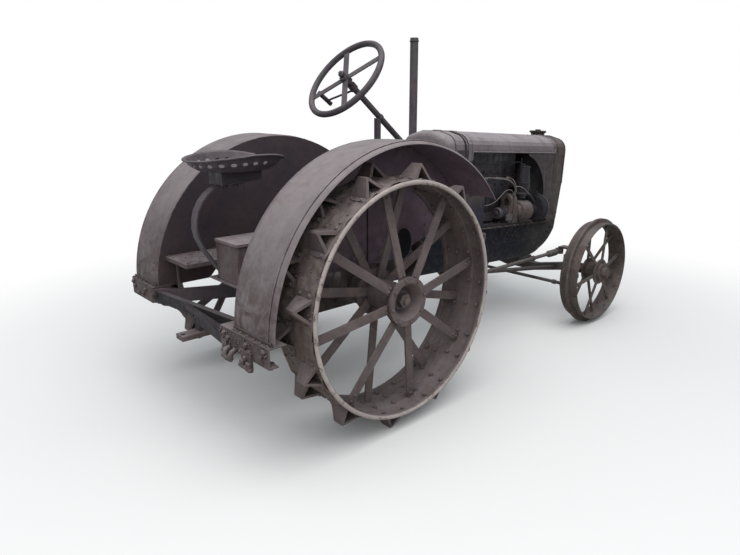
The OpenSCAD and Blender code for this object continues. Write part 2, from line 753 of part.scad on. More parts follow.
// The right knuckle at the kingpin's place, with its spindle and tie rod arm.
module knuckle() {
  difference() {
    union() {
      translate([0, 0, front_z - 60]) cylinder(h = 120, r = 32);
      translate([0, 0, front_z]) rotate([90, 0, 0])
        cylinder(h = front_mid - king_y + 58, r = 25);
      translate([0, 0, front_z]) rotate([90, 0, 0]) cylinder(h = front_mid - king_y - 76, r = 34);
      translate([-tie_len, 0, 0]) {
        translate([0, 0, tie_z + 22]) cylinder(h = 18, r = 24);
        translate([0, -14, tie_z + 24]) cube([tie_len - 60, 28, 14]);
        translate([0, 0, tie_z - 20]) cylinder(h = 44, r = 10);
      }
      translate([-70, -14, tie_z + 24]) cube([20, 28, front_z - tie_z - 40]);
      translate([-70, -14, front_z - 40]) cube([60, 28, 30]);
    }
    translate([0, 0, front_z - 61]) cylinder(h = 122, r = king_r + e);
  }
}

module knuckle_right() {
  color(dark) {
    translate([wheelbase, -king_y, 0]) knuckle();
    translate([wheelbase, -king_y, 0]) {
      translate([25, -14, front_z + 20]) cube([39, 28, 25]);
      translate([50, -14, front_z + 20]) cube([14, 28, link_z + 19 - front_z]);
      translate([-12, -14, link_z + 25]) cube([76, arm_len + 14, 14]);
      translate([0, arm_len, link_z - 24]) cylinder(h = 60, r = 12);
    }
  }
}

module knuckle_left() {
  color(dark) mirror([0, 1, 0]) translate([wheelbase, -king_y, 0]) knuckle();
}

module tie_rod() {
  color(dark) {
    difference() {
      union() {
        both() translate([wheelbase - tie_len, king_y, tie_z - 15]) cylinder(h = 30, r = 24);
        bar([wheelbase - tie_len, -king_y + 15, tie_z], [wheelbase - tie_len, king_y - 15, tie_z], 13);
      }
      translate([wheelbase - tie_len, -king_y, tie_z - 16]) cylinder(h = 32, r = 10 + e);
      translate([wheelbase - tie_len, king_y, tie_z - 16]) cylinder(h = 32, r = 13);
    }
  }
}

translate([x_shift, 0, 0]) {
  transmission();
  u_frame();
  engine_block();
  cylinder_head();
  exhaust();
  magneto();
  drive_housing();
  canister();
  ignition_wires();
  fan();
  radiator();
  radiator_core();
  radiator_cap();
  side_panels();
  cowl();
  hood();
  fuel_tank();
  fender_right();
  fender_left();
  cross_channel();
  frame_braces();
  platform();
  toolbox();
  toolbox_lid();
  seat_spring();
  seat_pan();
  steering_column();
  steering_wheel();
  pitman_arm();
  drag_link();
  levers();
  belt_pulley();
  drawbar();
  rear_wheel_right();
  rear_wheel_left();
  front_axle();
  radius_rods();
  knuckle_right();
  knuckle_left();
  front_wheel_right();
  front_wheel_left();
  tie_rod();
}
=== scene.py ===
import random
from math import asin, cos, exp, pi, radians, sin

import bmesh
import bpy
from mathutils import Matrix, Vector


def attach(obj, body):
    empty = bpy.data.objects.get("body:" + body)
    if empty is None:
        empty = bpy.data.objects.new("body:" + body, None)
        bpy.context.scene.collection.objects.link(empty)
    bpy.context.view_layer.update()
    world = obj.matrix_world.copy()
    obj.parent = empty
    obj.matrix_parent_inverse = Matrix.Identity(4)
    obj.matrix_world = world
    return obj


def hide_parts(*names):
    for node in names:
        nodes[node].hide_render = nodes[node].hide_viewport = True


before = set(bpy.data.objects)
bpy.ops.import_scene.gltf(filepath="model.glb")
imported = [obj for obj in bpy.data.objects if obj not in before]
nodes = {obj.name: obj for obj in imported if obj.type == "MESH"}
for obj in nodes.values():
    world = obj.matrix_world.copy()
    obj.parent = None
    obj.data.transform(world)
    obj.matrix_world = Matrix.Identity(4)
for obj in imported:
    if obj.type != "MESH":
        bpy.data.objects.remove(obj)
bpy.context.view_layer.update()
scene = bpy.context.scene

# Sizes of the solids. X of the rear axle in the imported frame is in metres, the rest in mm: x forward
# of the rear axle, y to the left, z above the ground.
AXLE_X = -0.9045
SLOPE = radians(3)
FRAME_X, FRAME_Z = 1800, 780
REAR_Y, REAR_Z = 690.5, 690
FRONT_X, FRONT_Y, FRONT_Z = 2258, 650, 411
KING_Y, TIE_Z = 490, 301
LINK_Y, LINK_Z = -340, 516
FENDER_X, FENDER_Z = 79, 621
BAR_X = -800
# Radii of the rear tread and of the rim's rolled edges
TREAD_R, RIM_R = 610, 601
LUGS, REAR_SPOKES, FRONT_SPOKES = 12, 8, 6
# The angle and the middle of each lug in both rows
LUG_FEET = [(radians(first + i * 360 / LUGS), z) for first, z in ((-8, 76.25), (7, -76.25))
            for i in range(LUGS)]
# The middle (y, w) of what turns at the engine's right side, and (u, y) of the canister
MAGNETO, HOUSING, DRUM = (-202, 95), (-212, 102), (-200, 110)
CANISTER = (58, -196)
# The first spark plug and the step to the next one
PLUG_U, PLUG_STEP = -493, 134
# Half the hood's width, its top, and the radius of its shoulders
HOOD_HALF, HOOD_TOP, SHOULDER = 235.5, 678.4, 95


# Place in metres of a point in mm.
def at(x, y, z):
    return Vector((x / 1000 + AXLE_X, y / 1000, z / 1000))


# The same for the sloped system of the frame: u along it, y to the left, w above its flange.
def fu(u, y, w):
    x = FRAME_X + u * cos(SLOPE) + w * sin(SLOPE)
    z = FRAME_Z - u * sin(SLOPE) + w * cos(SLOPE)
    return at(x, y, z)


def fu_dir(u, y, w):
    return Vector((u * cos(SLOPE) + w * sin(SLOPE), y, -u * sin(SLOPE) + w * cos(SLOPE)))


RIGHT, LEFT, UP, DOWN, BACK = (0, -1, 0), (0, 1, 0), (0, 0, 1), (0, 0, -1), (-1, 0, 0)
FU_AHEAD, FU_BACK, FU_UP = fu_dir(1, 0, 0), fu_dir(-1, 0, 0), fu_dir(0, 0, 1)
SIDES = ((-1, "right"), (1, "left"))


# Camera, light and floor

def make_camera():
    cam = bpy.data.objects.new("camera", bpy.data.cameras.new("camera"))
    scene.collection.objects.link(cam)
    cam.data.sensor_fit = "HORIZONTAL"
    cam.data.lens = 28.173
    cam.data.clip_end = 300
    right = Vector((0.744529, -0.667586, -0.002455))
    up = Vector((0.183818, 0.201466, 0.962093))
    back = Vector((-0.641785, -0.716757, 0.272712))
    turn = Matrix((right, up, back)).transposed().to_4x4()
    turn.translation = Vector((-2.90208, -2.75839, 1.60667))
    cam.matrix_world = turn
    scene.camera = cam


def area_light(name, place, size, power, color):
    target = Vector((0, 0, 0.8))
    data = bpy.data.lights.new(name, "AREA")
    data.shape = "RECTANGLE"
    data.size, data.size_y = size
    data.energy = power
    data.color = color
    lamp = bpy.data.objects.new(name, data)
    scene.collection.objects.link(lamp)
    lamp.location = place
    lamp.rotation_euler = (target - Vector(place)).to_track_quat("-Z", "Y").to_euler()


# The sky is white to the camera and dimmer to the part.
def make_world():
    world = bpy.data.worlds.new("studio")
    scene.world = world
    world.use_nodes = True
    tree = world.node_tree
    back = tree.nodes["Background"]
    back.inputs["Color"].default_value = (0.89, 0.94, 1.0, 1)
    back.inputs["Strength"].default_value = 0.52
    white = tree.nodes.new("ShaderNodeBackground")
    white.inputs["Color"].default_value = (1, 1, 1, 1)
    mix = tree.nodes.new("ShaderNodeMixShader")
    path = tree.nodes.new("ShaderNodeLightPath")
    tree.links.new(path.outputs["Is Camera Ray"], mix.inputs["Fac"])
    tree.links.new(back.outputs[0], mix.inputs[1])
    tree.links.new(white.outputs[0], mix.inputs[2])
    tree.links.new(mix.outputs[0], tree.nodes["World Output"].inputs["Surface"])


# Materials

class Nodes:
    def __init__(self, name):
        self.mat = bpy.data.materials.new(name)
        self.mat.use_nodes = True
        self.tree = self.mat.node_tree
        self.shader = self.tree.nodes["Principled BSDF"]
        self.coord = self.node("TexCoord")
        self.place = self.coord.outputs["Object"]

    def node(self, kind, **settings):
        n = self.tree.nodes.new("ShaderNode" + kind)
        for name, value in settings.items():
            setattr(n, name, value)
        return n

    def put(self, value, socket):
        if isinstance(value, bpy.types.NodeSocket):
            self.tree.links.new(value, socket)
        else:
            socket.default_value = value

    def math(self, operation, a, b=0.0):
        n = self.node("Math", operation=operation)
        self.put(a, n.inputs[0])
        self.put(b, n.inputs[1])
        return n.outputs[0]

    def times(self, a, b):
        return self.math("MULTIPLY", a, b)

    def vector(self, operation, a, b=(0, 0, 0), output="Vector"):
        n = self.node("VectorMath", operation=operation)
        self.put(a, n.inputs[0])
        self.put(b, n.inputs[1])
        return n.outputs[output]

    def scaled(self, x, y, z):
        return self.vector("MULTIPLY", self.place, (x, y, z))

    def part_of(self, value, axis):
        n = self.node("SeparateXYZ")
        self.put(value, n.inputs[0])
        return n.outputs[axis]

    def axis(self, name):
        return self.part_of(self.place, name)

    def noise(self, scale, detail, rough, warp=0.0, place=None):
        n = self.node("TexNoise")
        for name, v in (("Scale", scale), ("Detail", detail), ("Roughness", rough), ("Distortion", warp)):
            n.inputs[name].default_value = v
        self.put(place or self.place, n.inputs["Vector"])
        return n.outputs["Fac"]

    def steps(self, value, low, high, to_low=0.0, to_high=1.0):
        n = self.node("MapRange", interpolation_type="SMOOTHSTEP")
        self.put(value, n.inputs["Value"])
        for name, v in (("From Min", low), ("From Max", high), ("To Min", to_low), ("To Max", to_high)):
            n.inputs[name].default_value = v
        return n.outputs["Result"]

    def blend(self, factor, a, b):
        n = self.node("Mix", data_type="RGBA")
        self.put(factor, n.inputs[0])
        for value, socket in ((a, n.inputs[6]), (b, n.inputs[7])):
            self.put((*value, 1) if isinstance(value, tuple) else value, socket)
        return n.outputs[2]

    def bump(self, height, strength, distance, normal=None):
        n = self.node("Bump")
        n.inputs["Strength"].default_value = strength
        n.inputs["Distance"].default_value = distance
        self.put(height, n.inputs["Height"])
        if normal:
            self.put(normal, n.inputs["Normal"])
        return n.outputs["Normal"]

    # ambient occlusion, used to paint shade into hollows and between parts
    def occlusion_shade(self, distance):
        n = self.node("AmbientOcclusion", samples=4)
        n.inputs["Distance"].default_value = distance
        return n.outputs["AO"]

    def edge(self, radius):
        n = self.node("Bevel", samples=4)
        n.inputs["Radius"].default_value = radius
        normal = self.node("NewGeometry").outputs["Normal"]
        return self.math("SUBTRACT", 1.0, self.vector("DOT_PRODUCT", n.outputs[0], normal, "Value"))

    # 1 for rays from the camera, also by way of a mirror or glass
    def viewed(self):
        path = self.node("LightPath")
        total = path.outputs["Is Camera Ray"]
        for kind in ("Is Glossy Ray", "Is Transmission Ray"):
            total = self.math("MAXIMUM", total, path.outputs[kind])
        return total


# The floor is pale to the camera and fades to white far off; what it sends back to the part is duller.
def make_floor():
    half = 60
    mesh = bpy.data.meshes.new("floor")
    mesh.from_pydata([(x, y, 0) for x, y in box(-half, half, -half, half)], [], [(0, 1, 2, 3)])
    floor = bpy.data.objects.new("floor", mesh)
    scene.collection.objects.link(floor)
    g = Nodes("floor")
    g.shader.inputs["Roughness"].default_value = 0.95
    g.shader.inputs["Specular IOR Level"].default_value = 0.0
    viewed = g.viewed()
    g.put(g.blend(viewed, (0.30, 0.30, 0.27), (0.93, 0.93, 0.92)), g.shader.inputs["Base Color"])
    far = g.steps(g.vector("LENGTH", g.place, output="Value"), 1.7, 4.4)
    mix = g.node("MixShader")
    g.put(g.times(far, viewed), mix.inputs["Fac"])
    g.put(g.shader.outputs[0], mix.inputs[1])
    g.put(g.node("Emission").outputs[0], mix.inputs[2])
    g.put(mix.outputs[0], g.tree.nodes["Material Output"].inputs["Surface"])
    mesh.materials.append(g.mat)


# Colours are given as seen, 0 to 255, and turned to linear.
def seen(rgb):
    return tuple(((c / 255 + 0.055) / 1.055) ** 2.4 if c > 10 else c / 255 / 12.92 for c in rgb)


def toned(color, factor):
    return tuple(min(1, c * factor) for c in color)


materials = {}


# Weathered metal: two paint or scale tones in patches, rust, run-down streaks, dust on what faces up,
# dirt and painted shade in hollows and near other parts (ambient occlusion), and rubbed edges. Other tones
# lie where the mask says.
def steel(name, tone, second, rust=(104, 70, 54), rusty=0.3, dust=(156, 147, 148), dusty=0.5, streaks=0,
          dirt=(52, 42, 42), worn=0.3, rough=0.72, metallic=0, grain=1.0, mud=0, oil=0, stains_and_crease_shade=0,
          mask=()):
    g = Nodes(name)
    tone, second, rust, dust, dirt = (seen(c) for c in (tone, second, rust, dust, dirt))
    color = g.blend(g.steps(g.noise(3.2, 6, 0.6, 0.4), 0.36, 0.64), tone, second)
    color = g.blend(g.steps(g.noise(26, 6, 0.65), 0.42, 0.75, 0, 0.5), color, toned(tone, 0.66))
    color = g.blend(g.steps(g.noise(11, 8, 0.7, 0.6), 0.56, 0.72, 0, 0.4), color, toned(second, 1.35))
    rust_mask = g.steps(g.noise(7.5, 9, 0.68, 0.8), 0.66 - 0.28 * rusty, 0.80 - 0.28 * rusty)
    rust_tone = g.blend(g.noise(60, 4, 0.6), toned(rust, 0.6), toned(rust, 1.35))
    color = g.blend(g.times(rust_mask, min(1.0, 0.3 + rusty)), color, rust_tone)
    if streaks:
        dark = g.noise(1.0, 5, 0.6, 0, g.scaled(38, 38, 2.2))
        color = g.blend(g.steps(dark, 0.5, 0.72, 0, streaks), color, toned(second, 0.5))
        light = g.noise(1.0, 4, 0.6, 0, g.scaled(55, 55, 3.0))
        color = g.blend(g.steps(light, 0.55, 0.75, 0, streaks * 0.7), color, dust)
    if dusty:
        up = g.steps(g.part_of(g.coord.outputs["Normal"], "Z"), 0.1, 0.9)
        cover = g.times(up, g.steps(g.noise(9, 7, 0.65), 0.25, 0.65, 0.35, 1.0))
        cover = g.times(cover, g.steps(g.noise(140, 3, 0.6), 0.3, 0.7, 0.7, 1.0))
        color = g.blend(g.times(cover, dusty), color, dust)
    if mask:
        first, other, spots = (seen(c) for c in mask[1:])
        inner = g.blend(g.steps(g.noise(5, 7, 0.62, 0.5), 0.35, 0.65), first, other)
        inner = g.blend(g.steps(g.noise(24, 6, 0.65), 0.5, 0.72, 0, 0.5), inner, spots)
        color = g.blend(mask[0](g), color, inner)
    if stains_and_crease_shade:
        # stains low on the fenders, and dark lines beside their beads: painted shade in the creases, broken
        # up like dirt
        low = g.steps(g.axis("Z"), 0.66, 1.15, 1.0, 0)
        blots = g.steps(g.noise(13, 8, 0.7, 0.8), 0.40, 0.60)
        stain = g.blend(g.noise(30, 5, 0.6), seen((62, 50, 50)), seen((92, 72, 66)))
        color = g.blend(g.times(g.times(low, blots), stains_and_crease_shade), color, stain)
        far = g.math("ABSOLUTE", g.axis("Y"))
        for line in (0.4535, 0.4615, 0.7345, 0.7435):
            near = g.steps(g.math("ABSOLUTE", g.math("SUBTRACT", far, line)), 0.0007, 0.0022, 0.55, 0)
            color = g.blend(g.times(near, g.steps(g.noise(7, 5, 0.6), 0.3, 0.6)), color, seen((60, 52, 54)))
    if mud:
        cake = g.noise(14, 9, 0.7, 1.2)
        caked = g.steps(cake, 0.60 - 0.22 * mud, 0.68 - 0.22 * mud)
        color = g.blend(caked, color, g.blend(g.noise(45, 5, 0.6), seen((88, 76, 72)), seen((132, 118, 112))))
    if oil:
        run = g.noise(5.5, 6, 0.6, 0.8, g.scaled(1.6, 1.6, 0.6))
        wet = g.steps(run, 0.62 - 0.25 * oil, 0.75 - 0.25 * oil)
        color = g.blend(g.times(wet, 0.85), color, (0.007, 0.007, 0.008))
    # painted shade together with dirt: the dirt colour laid where ambient occlusion finds hollows and nearby
    # parts
    color = g.blend(g.steps(g.occlusion_shade(0.09), 0.35, 0.95, 0.6, 0), color, dirt)
    if worn:
        rim = g.times(g.steps(g.edge(0.006), 0.02, 0.16), g.steps(g.noise(18, 6, 0.7), 0.4, 0.62))
        color = g.blend(g.times(rim, worn), color, toned(tone, 2.0))
    g.put(color, g.shader.inputs["Base Color"])
    g.shader.inputs["Metallic"].default_value = metallic
    g.shader.inputs["Specular IOR Level"].default_value = 0.35
    r = g.steps(g.noise(20, 5, 0.6), 0.3, 0.7, rough - 0.12, min(1.0, rough + 0.14))
    if oil:
        r = g.times(r, g.steps(wet, 0, 1.0, 1.0, 0.5))
    g.put(r, g.shader.inputs["Roughness"])
    fine = g.math("ADD", g.times(g.noise(220, 4, 0.7), 0.5), g.noise(38, 6, 0.6))
    normal = g.bump(fine, 0.55 * grain, 0.0022)
    normal = g.bump(rust_mask, 0.35 * grain, 0.0012, normal)
    normal = g.bump(g.noise(2.6, 3, 0.5), 0.5, 0.012, normal)
    if mud:
        normal = g.bump(cake, 0.6, 0.006, normal)
    g.put(normal, g.shader.inputs["Normal"])
    materials[name] = g.mat


# Masks in object coordinates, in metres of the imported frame. Each fades over the two given values.
def beyond(g, x0, x1):
    return g.steps(g.axis("X"), x0 / 1000 + AXLE_X, x1 / 1000 + AXLE_X)


# Where painted shade goes on the fenders: the inner side sheets and the faces turned toward the arch's
# middle.
def fender_inside_shade(g):
    sheet = g.steps(g.math("ABSOLUTE", g.axis("Y")), 0.4424, 0.4430, 1.0, 0.0)
    off = g.vector("SUBTRACT", g.place, tuple(at(FENDER_X, 0, FENDER_Z)))
    off = g.vector("MULTIPLY", off, (1, 0, 1))
    outward = g.vector("DOT_PRODUCT", off, g.coord.outputs["Normal"], "Value")
    return g.math("MAXIMUM", sheet, g.steps(outward, -0.25, 0.0, 1.0, 0.0))


# Middle of the cross bar, between its feet, where painted shade goes.
def bar_middle_shade(g):
    y = g.axis("Y")
    return g.times(g.steps(y, -0.350, -0.346), g.steps(y, 0.478, 0.482, 1.0, 0.0))


def drum_end(g):
    return beyond(g, 1918, 1922)


def rim_face(g):
    return g.steps(g.math("ABSOLUTE", g.axis("Y")), 0.8392, 0.8402)


def left_brace(g):
    y = g.axis("Y")
    lean = g.math("ADD", g.axis("X"), g.times(y, 0.1168))
    away = g.steps(lean, -0.741 + AXLE_X, -0.738 + AXLE_X)
    return g.times(away, g.steps(y, 0.18, 0.44))


def frame_front(g):
    return beyond(g, 1850, 2150)


# Lower rear of the cowl, where dark bluish painted shade goes.
def cowl_foot_shade(g):
    behind = g.steps(g.axis("X"), 1.420 + AXLE_X, 1.460 + AXLE_X, 1.0, 0.0)
    return g.times(g.steps(g.axis("Z"), 0.93, 1.03, 1.0, 0.0), behind)


# The fenders' inner faces get bluish painted shade tones: light on the right as painted bounce light, dark on
# the left.
steel("sheet", (118, 109, 112), (132, 123, 125), dusty=0.75, streaks=0.35, worn=0.7, stains_and_crease_shade=0.75,
      mask=(fender_inside_shade, (112, 95, 110), (126, 107, 118), (86, 73, 86)))
steel("left_sheet_shaded", (110, 101, 104), (124, 115, 117), dusty=0.75, streaks=0.35, worn=0.8, stains_and_crease_shade=0.75,
      mask=(fender_inside_shade, (60, 54, 60), (72, 60, 64), (48, 44, 52)))
steel("rim", (182, 170, 167), (194, 183, 178), rust=(108, 84, 76), mud=0.2, grain=1.3)
steel("hood", (112, 104, 108), (124, 116, 119), dusty=0.9, streaks=0.2, dust=(176, 168, 170))
# Side panels and cowl: the sheet paint darkened as painted shade, with darker bluish painted shade at the
# cowl's foot.
steel("panel_shaded", (63, 57, 60), (74, 67, 68), rusty=0.35, dusty=0.3, streaks=0.35,
      mask=(cowl_foot_shade, (36, 34, 48), (46, 43, 56), (58, 50, 56)))
steel("iron", (82, 73, 73), (98, 86, 84), rusty=0.4, dusty=0.45, streaks=0.2)
steel("frame", (35, 35, 43), (50, 46, 52), rusty=0.2, dusty=0.4, streaks=0.3, dust=(118, 108, 106),
      rough=0.6, oil=0.6)
steel("trough", (15, 17, 28), (25, 27, 38), rust=(64, 52, 48), rusty=0.35, dusty=0.35,
      dust=(92, 84, 84), rough=0.8, mask=(frame_front, (42, 40, 40), (54, 51, 50), (72, 64, 60)))
steel("link", (76, 70, 71), (96, 88, 87), dusty=0.55, streaks=0.1, dust=(136, 128, 128), rough=0.65)
steel("brace", (38, 37, 44), (52, 48, 53), rusty=0.25, dusty=0.6, streaks=0.2, dust=(130, 122, 122),
      mask=(left_brace, (94, 82, 88), (108, 95, 100), (76, 64, 64)))
steel("nose", (70, 63, 62), (82, 74, 72), dusty=0.7, streaks=0.35, dust=(140, 132, 128))
steel("lid", (108, 96, 98), (124, 112, 114), rust=(104, 78, 70), rusty=0.35, dusty=0.95, streaks=0.2,
      dust=(170, 160, 162))
steel("slate", (66, 61, 68), (84, 76, 81), rusty=0.25, dusty=0.35, streaks=0.1, rough=0.6)
steel("rusty", (88, 76, 78), (104, 92, 94), rust=(98, 72, 66), rusty=0.45, dusty=0.85, streaks=0.25,
      dust=(148, 138, 140))
# the bar's middle takes dark painted shade tones
steel("bar", (96, 84, 86), (114, 102, 104), rust=(98, 72, 66), rusty=0.45, dusty=0.8, streaks=0.25,
      mask=(bar_middle_shade, (48, 42, 48), (60, 52, 56), (72, 58, 56)))
steel("wheel", (100, 89, 90), (119, 106, 106), rust=(100, 74, 64), rusty=0.4, dusty=0.45, mud=0.35,
      grain=1.4, mask=(rim_face, (150, 138, 138), (162, 150, 149), (118, 106, 102)))
steel("front", (84, 77, 73), (104, 97, 92), rust=(80, 48, 44), rusty=0.5, dusty=0.3, mud=0.35, grain=1.5)
steel("tan", (85, 75, 74), (103, 92, 88), rusty=0.35, streaks=0.2, oil=0.25,
      mask=(drum_end, (31, 32, 38), (40, 40, 46), (26, 26, 32)))
steel("hole", (24, 20, 25), (30, 26, 31), rusty=0, dusty=0, worn=0, rough=0.95)
steel("black", (30, 30, 36), (41, 39, 44), rusty=0.1, dusty=0.3, streaks=0.1, dust=(96, 90, 88), rough=0.6)
steel("wire", (118, 112, 112), (142, 136, 134), rusty=0, dusty=0.2, worn=0, rough=0.8, grain=0.4)
steel("mud", (104, 92, 88), (128, 116, 110), rusty=0.2, dusty=0.4, worn=0, rough=0.9, grain=2.0,
      dirt=(60, 50, 48))
steel("brass", (78, 69, 61), (94, 83, 72), rusty=0.2, dusty=0.4, rough=0.55, metallic=0.3)
steel("pale_metal", (100, 94, 99), (86, 80, 84), rusty=0.1, dusty=0.3, rough=0.55, metallic=0.3)
steel("pale", (186, 182, 174), (150, 144, 136), rusty=0, dusty=0.2, worn=0, rough=0.5, grain=0.2)

FINISH_OF = {
    "sheet": "fender_right",
    "left_sheet_shaded": "fender_left",
    "hood": "hood fuel_tank",
    "panel_shaded": "cowl side_panels",
    "iron": "transmission fan belt_pulley",
    "nose": "radiator radiator_cap",
    "frame": "engine_block cylinder_head radiator_core",
    "trough": "u_frame",
    "black": "canister",
    "link": "front_axle radius_rods knuckle_right knuckle_left tie_rod drag_link pitman_arm",
    "brace": "frame_braces",
    "lid": "toolbox_lid",
    "slate": "steering_column steering_wheel exhaust levers seat_spring seat_pan",
    "rusty": "platform toolbox drawbar",
    "bar": "cross_channel",
    "wheel": "rear_wheel_right rear_wheel_left",
    "front": "front_wheel_right front_wheel_left",
    "tan": "magneto drive_housing",
    "wire": "ignition_wires",
}


# Bevelled edges, the width in mm.
def soften(o, width):
    weld = o.modifiers.new("weld", "WELD")
    weld.merge_threshold = 0.00002
    bevel = o.modifiers.new("bevel", "BEVEL")
    bevel.width = width / 1000
    bevel.segments = 2
    bevel.limit_method = "ANGLE"
    bevel.angle_limit = radians(38)
    bevel.harden_normals = True


def dress_cad():
    for finish, names in FINISH_OF.items():
        for name in names.split():
            o = nodes[name]
            o.data.materials.clear()
            o.data.materials.append(materials[finish])
            soften(o, 1.5 if finish in ("sheet", "hood", "panel_shaded", "wire") else 2.5)


# A look is the body that a piece rides on, its material slot and its material here.
def look(material, slot, body="chassis"):
    return body, slot, material


HOOD, PANEL_SHADED = look("hood", "sheet_metal"), look("panel_shaded", "sheet_metal")
NOSE, IRON, TAN = look("nose", "iron"), look("iron", "iron"), look("tan", "iron")
FRAME, TROUGH = look("frame", "dark_frame"), look("trough", "dark_frame")
RUSTY, BAR = look("rusty", "rusty_steel"), look("bar", "rusty_steel")
SLATE, RUSTY_MUD = look("slate", "slate_steel"), look("mud", "rusty_steel")
GEAR, DRAG_LINK = look("iron", "slate_steel"), look("link", "dark_frame", "drag_link")


# Mesh helpers. Sizes of pieces are in mm.

def add_piece(name, mesh, look, smooth=True):
    body, slot, material = look
    if smooth:
        mesh.shade_smooth()
    o = bpy.data.objects.new(name, mesh)
    scene.collection.objects.link(o)
    mesh.materials.append(materials[material])
    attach(o, body)
    return o


def from_bmesh(name, bm, look, smooth=True):
    bmesh.ops.recalc_face_normals(bm, faces=bm.faces)
    mesh = bpy.data.meshes.new(name)
    bm.to_mesh(mesh)
    bm.free()
    return add_piece(name, mesh, look, smooth)


def turned(normal):
    return Vector(normal).normalized().to_track_quat("Z", "X").to_matrix().to_4x4()


# Loops of points joined by faces, with both ends closed when asked.
def skin(bm, loops, closed=True, ends=True):
    rows = [[bm.verts.new(p) for p in loop] for loop in loops]
    n = len(rows[0])
    for low, high in zip(rows, rows[1:]):
        for a in range(n if closed else n - 1):
            b = (a + 1) % n
            bm.faces.new((low[a], low[b], high[b], high[a]))
    if ends:
        bm.faces.new(rows[-1])
        bm.faces.new(list(reversed(rows[0])))


# A circle of (a, b) pairs from a start angle in degrees.
def ring(radius, count, start=0):
    angles = [radians(start + i * 360 / count) for i in range(count)]
    return [(radius * cos(a), radius * sin(a)) for a in angles]


# A regular polygon of radius r at height h, in metres, moved by a matrix.
def polygon(turn, r, h, sides):
    return [turn @ Vector((x, y, h)) for x, y in ring(r, sides)]


# Heads on spots, each spot (place, outward direction), each one turned at random about its axis.
def heads(name, spots, radius, height, look, seed, rings, sides):
    chance = random.Random(seed)
    radius, height = radius / 1000, height / 1000
    bm = bmesh.new()
    for place, normal in spots:
        spin = Matrix.Rotation(chance.uniform(0, 6.28), 4, "Z")
        turn = Matrix.Translation(place) @ turned(normal) @ spin
        skin(bm, [polygon(turn, r * radius, h * height, sides) for r, h in rings])
    from_bmesh(name, bm, look, smooth=sides > 6)


DOME = ((1.0, -0.4), (1.0, 0.1), (0.82, 0.62), (0.45, 0.93))
HEXAGON = ((1.25, -0.4), (1.25, 0.12), (1.0, 0.14), (1.0, 0.86), (0.86, 1.0), (0.5, 1.0), (0.46, 1.35),
           (0.38, 1.4))


def rivets(name, spots, radius, height, look, seed):
    heads(name, spots, radius, height, look, seed, DOME, 12)


def bolts(name, spots, radius, height, look, seed):
    heads(name, spots, radius, height, look, seed, HEXAGON, 6)


# A turned piece: radii and heights about a place and a direction.
def lathe(name, profile, place, axis, look, sides=40, smooth=False):
    turn = Matrix.Translation(place) @ turned(axis)
    bm = bmesh.new()
    skin(bm, [polygon(turn, r / 1000, h / 1000, sides) for r, h in profile])
    o = from_bmesh(name, bm, look, smooth)
    if not smooth:
        soften(o, 1.5)
    return o


# The profile of a collar with both edges bevelled.
def collar(low, high, edge, length):
    return [(low, 0), (high, edge), (high, length - edge), (low, length)]


# Prisms in one object. Each one: outline as pairs, low and high ends, and how a point is placed.
def prisms(name, items, look, width=1.5):
    bm = bmesh.new()
    for outline, low, high, place in items:
        skin(bm, [[place(a, b, c) for a, b in outline] for c in (low, high)])
    soften(from_bmesh(name, bm, look, smooth=False), width)


def box(a, b, c, d):
    return [(a, c), (b, c), (b, d), (a, d)]


def along(a, b, c):
    return at(c, a, b)


def across(a, b, c):
    return at(a, c, b)


def along_fu(a, b, c):
    return fu(c, a, b)


def across_fu(a, b, c):
    return fu(a, c, b)


# Bent round bars or wires through points.
def pipe(name, routes, radius, look, sides=3):
    curve = bpy.data.curves.new(name, "CURVE")
    curve.dimensions = "3D"
    curve.bevel_depth = radius / 1000
    curve.bevel_resolution = sides
    curve.use_fill_caps = True
    curve.resolution_u = 8
    for route in routes:
        spline = curve.splines.new("BEZIER")
        spline.bezier_points.add(len(route) - 1)
        for p, co in zip(spline.bezier_points, route):
            p.co = co
            p.handle_left_type = p.handle_right_type = "AUTO"
    holder = bpy.data.objects.new(name + "_path", curve)
    scene.collection.objects.link(holder)
    bpy.context.view_layer.update()
    mesh = bpy.data.meshes.new_from_object(holder.evaluated_get(bpy.context.evaluated_depsgraph_get()))
    bpy.data.objects.remove(holder)
    mesh.name = name
    add_piece(name, mesh, look)


# Crumbs of dirt: small uneven lumps.
def crumbs(name, places, small, large, look, seed):
    chance = random.Random(seed)
    bm = bmesh.new()
    for place in places:
        r = chance.uniform(small / 1000, large / 1000)
        turn = Matrix.Translation(place) @ Matrix.Rotation(chance.uniform(0, 6.28), 4, "Z")
        skin(bm, [[turn @ Vector((k * r * chance.uniform(0.7, 1.25) * cos(a * 1.047),
                                  k * r * chance.uniform(0.7, 1.25) * sin(a * 1.047), h * r))
                   for a in range(6)] for h, k in ((-0.5, 0.8), (0.15, 1.0), (0.6, 0.6))])
    from_bmesh(name, bm, look)


# Wheels: a spot at radius r, angle a and height z above the wheel's middle, outboard.

def wheel_dir(side, nr, a, nz):
    return Vector((nr * cos(a), side * nz, nr * sin(a)))


def rear_at(side, r, a, z, t=0.0):
    return at(r * cos(a) - t * sin(a), side * (REAR_Y + z), REAR_Z + (r * sin(a) + t * cos(a)))


def front_at(side, r, a, z):
    return at(FRONT_X + r * cos(a), side * (FRONT_Y + z), FRONT_Z + r * sin(a))


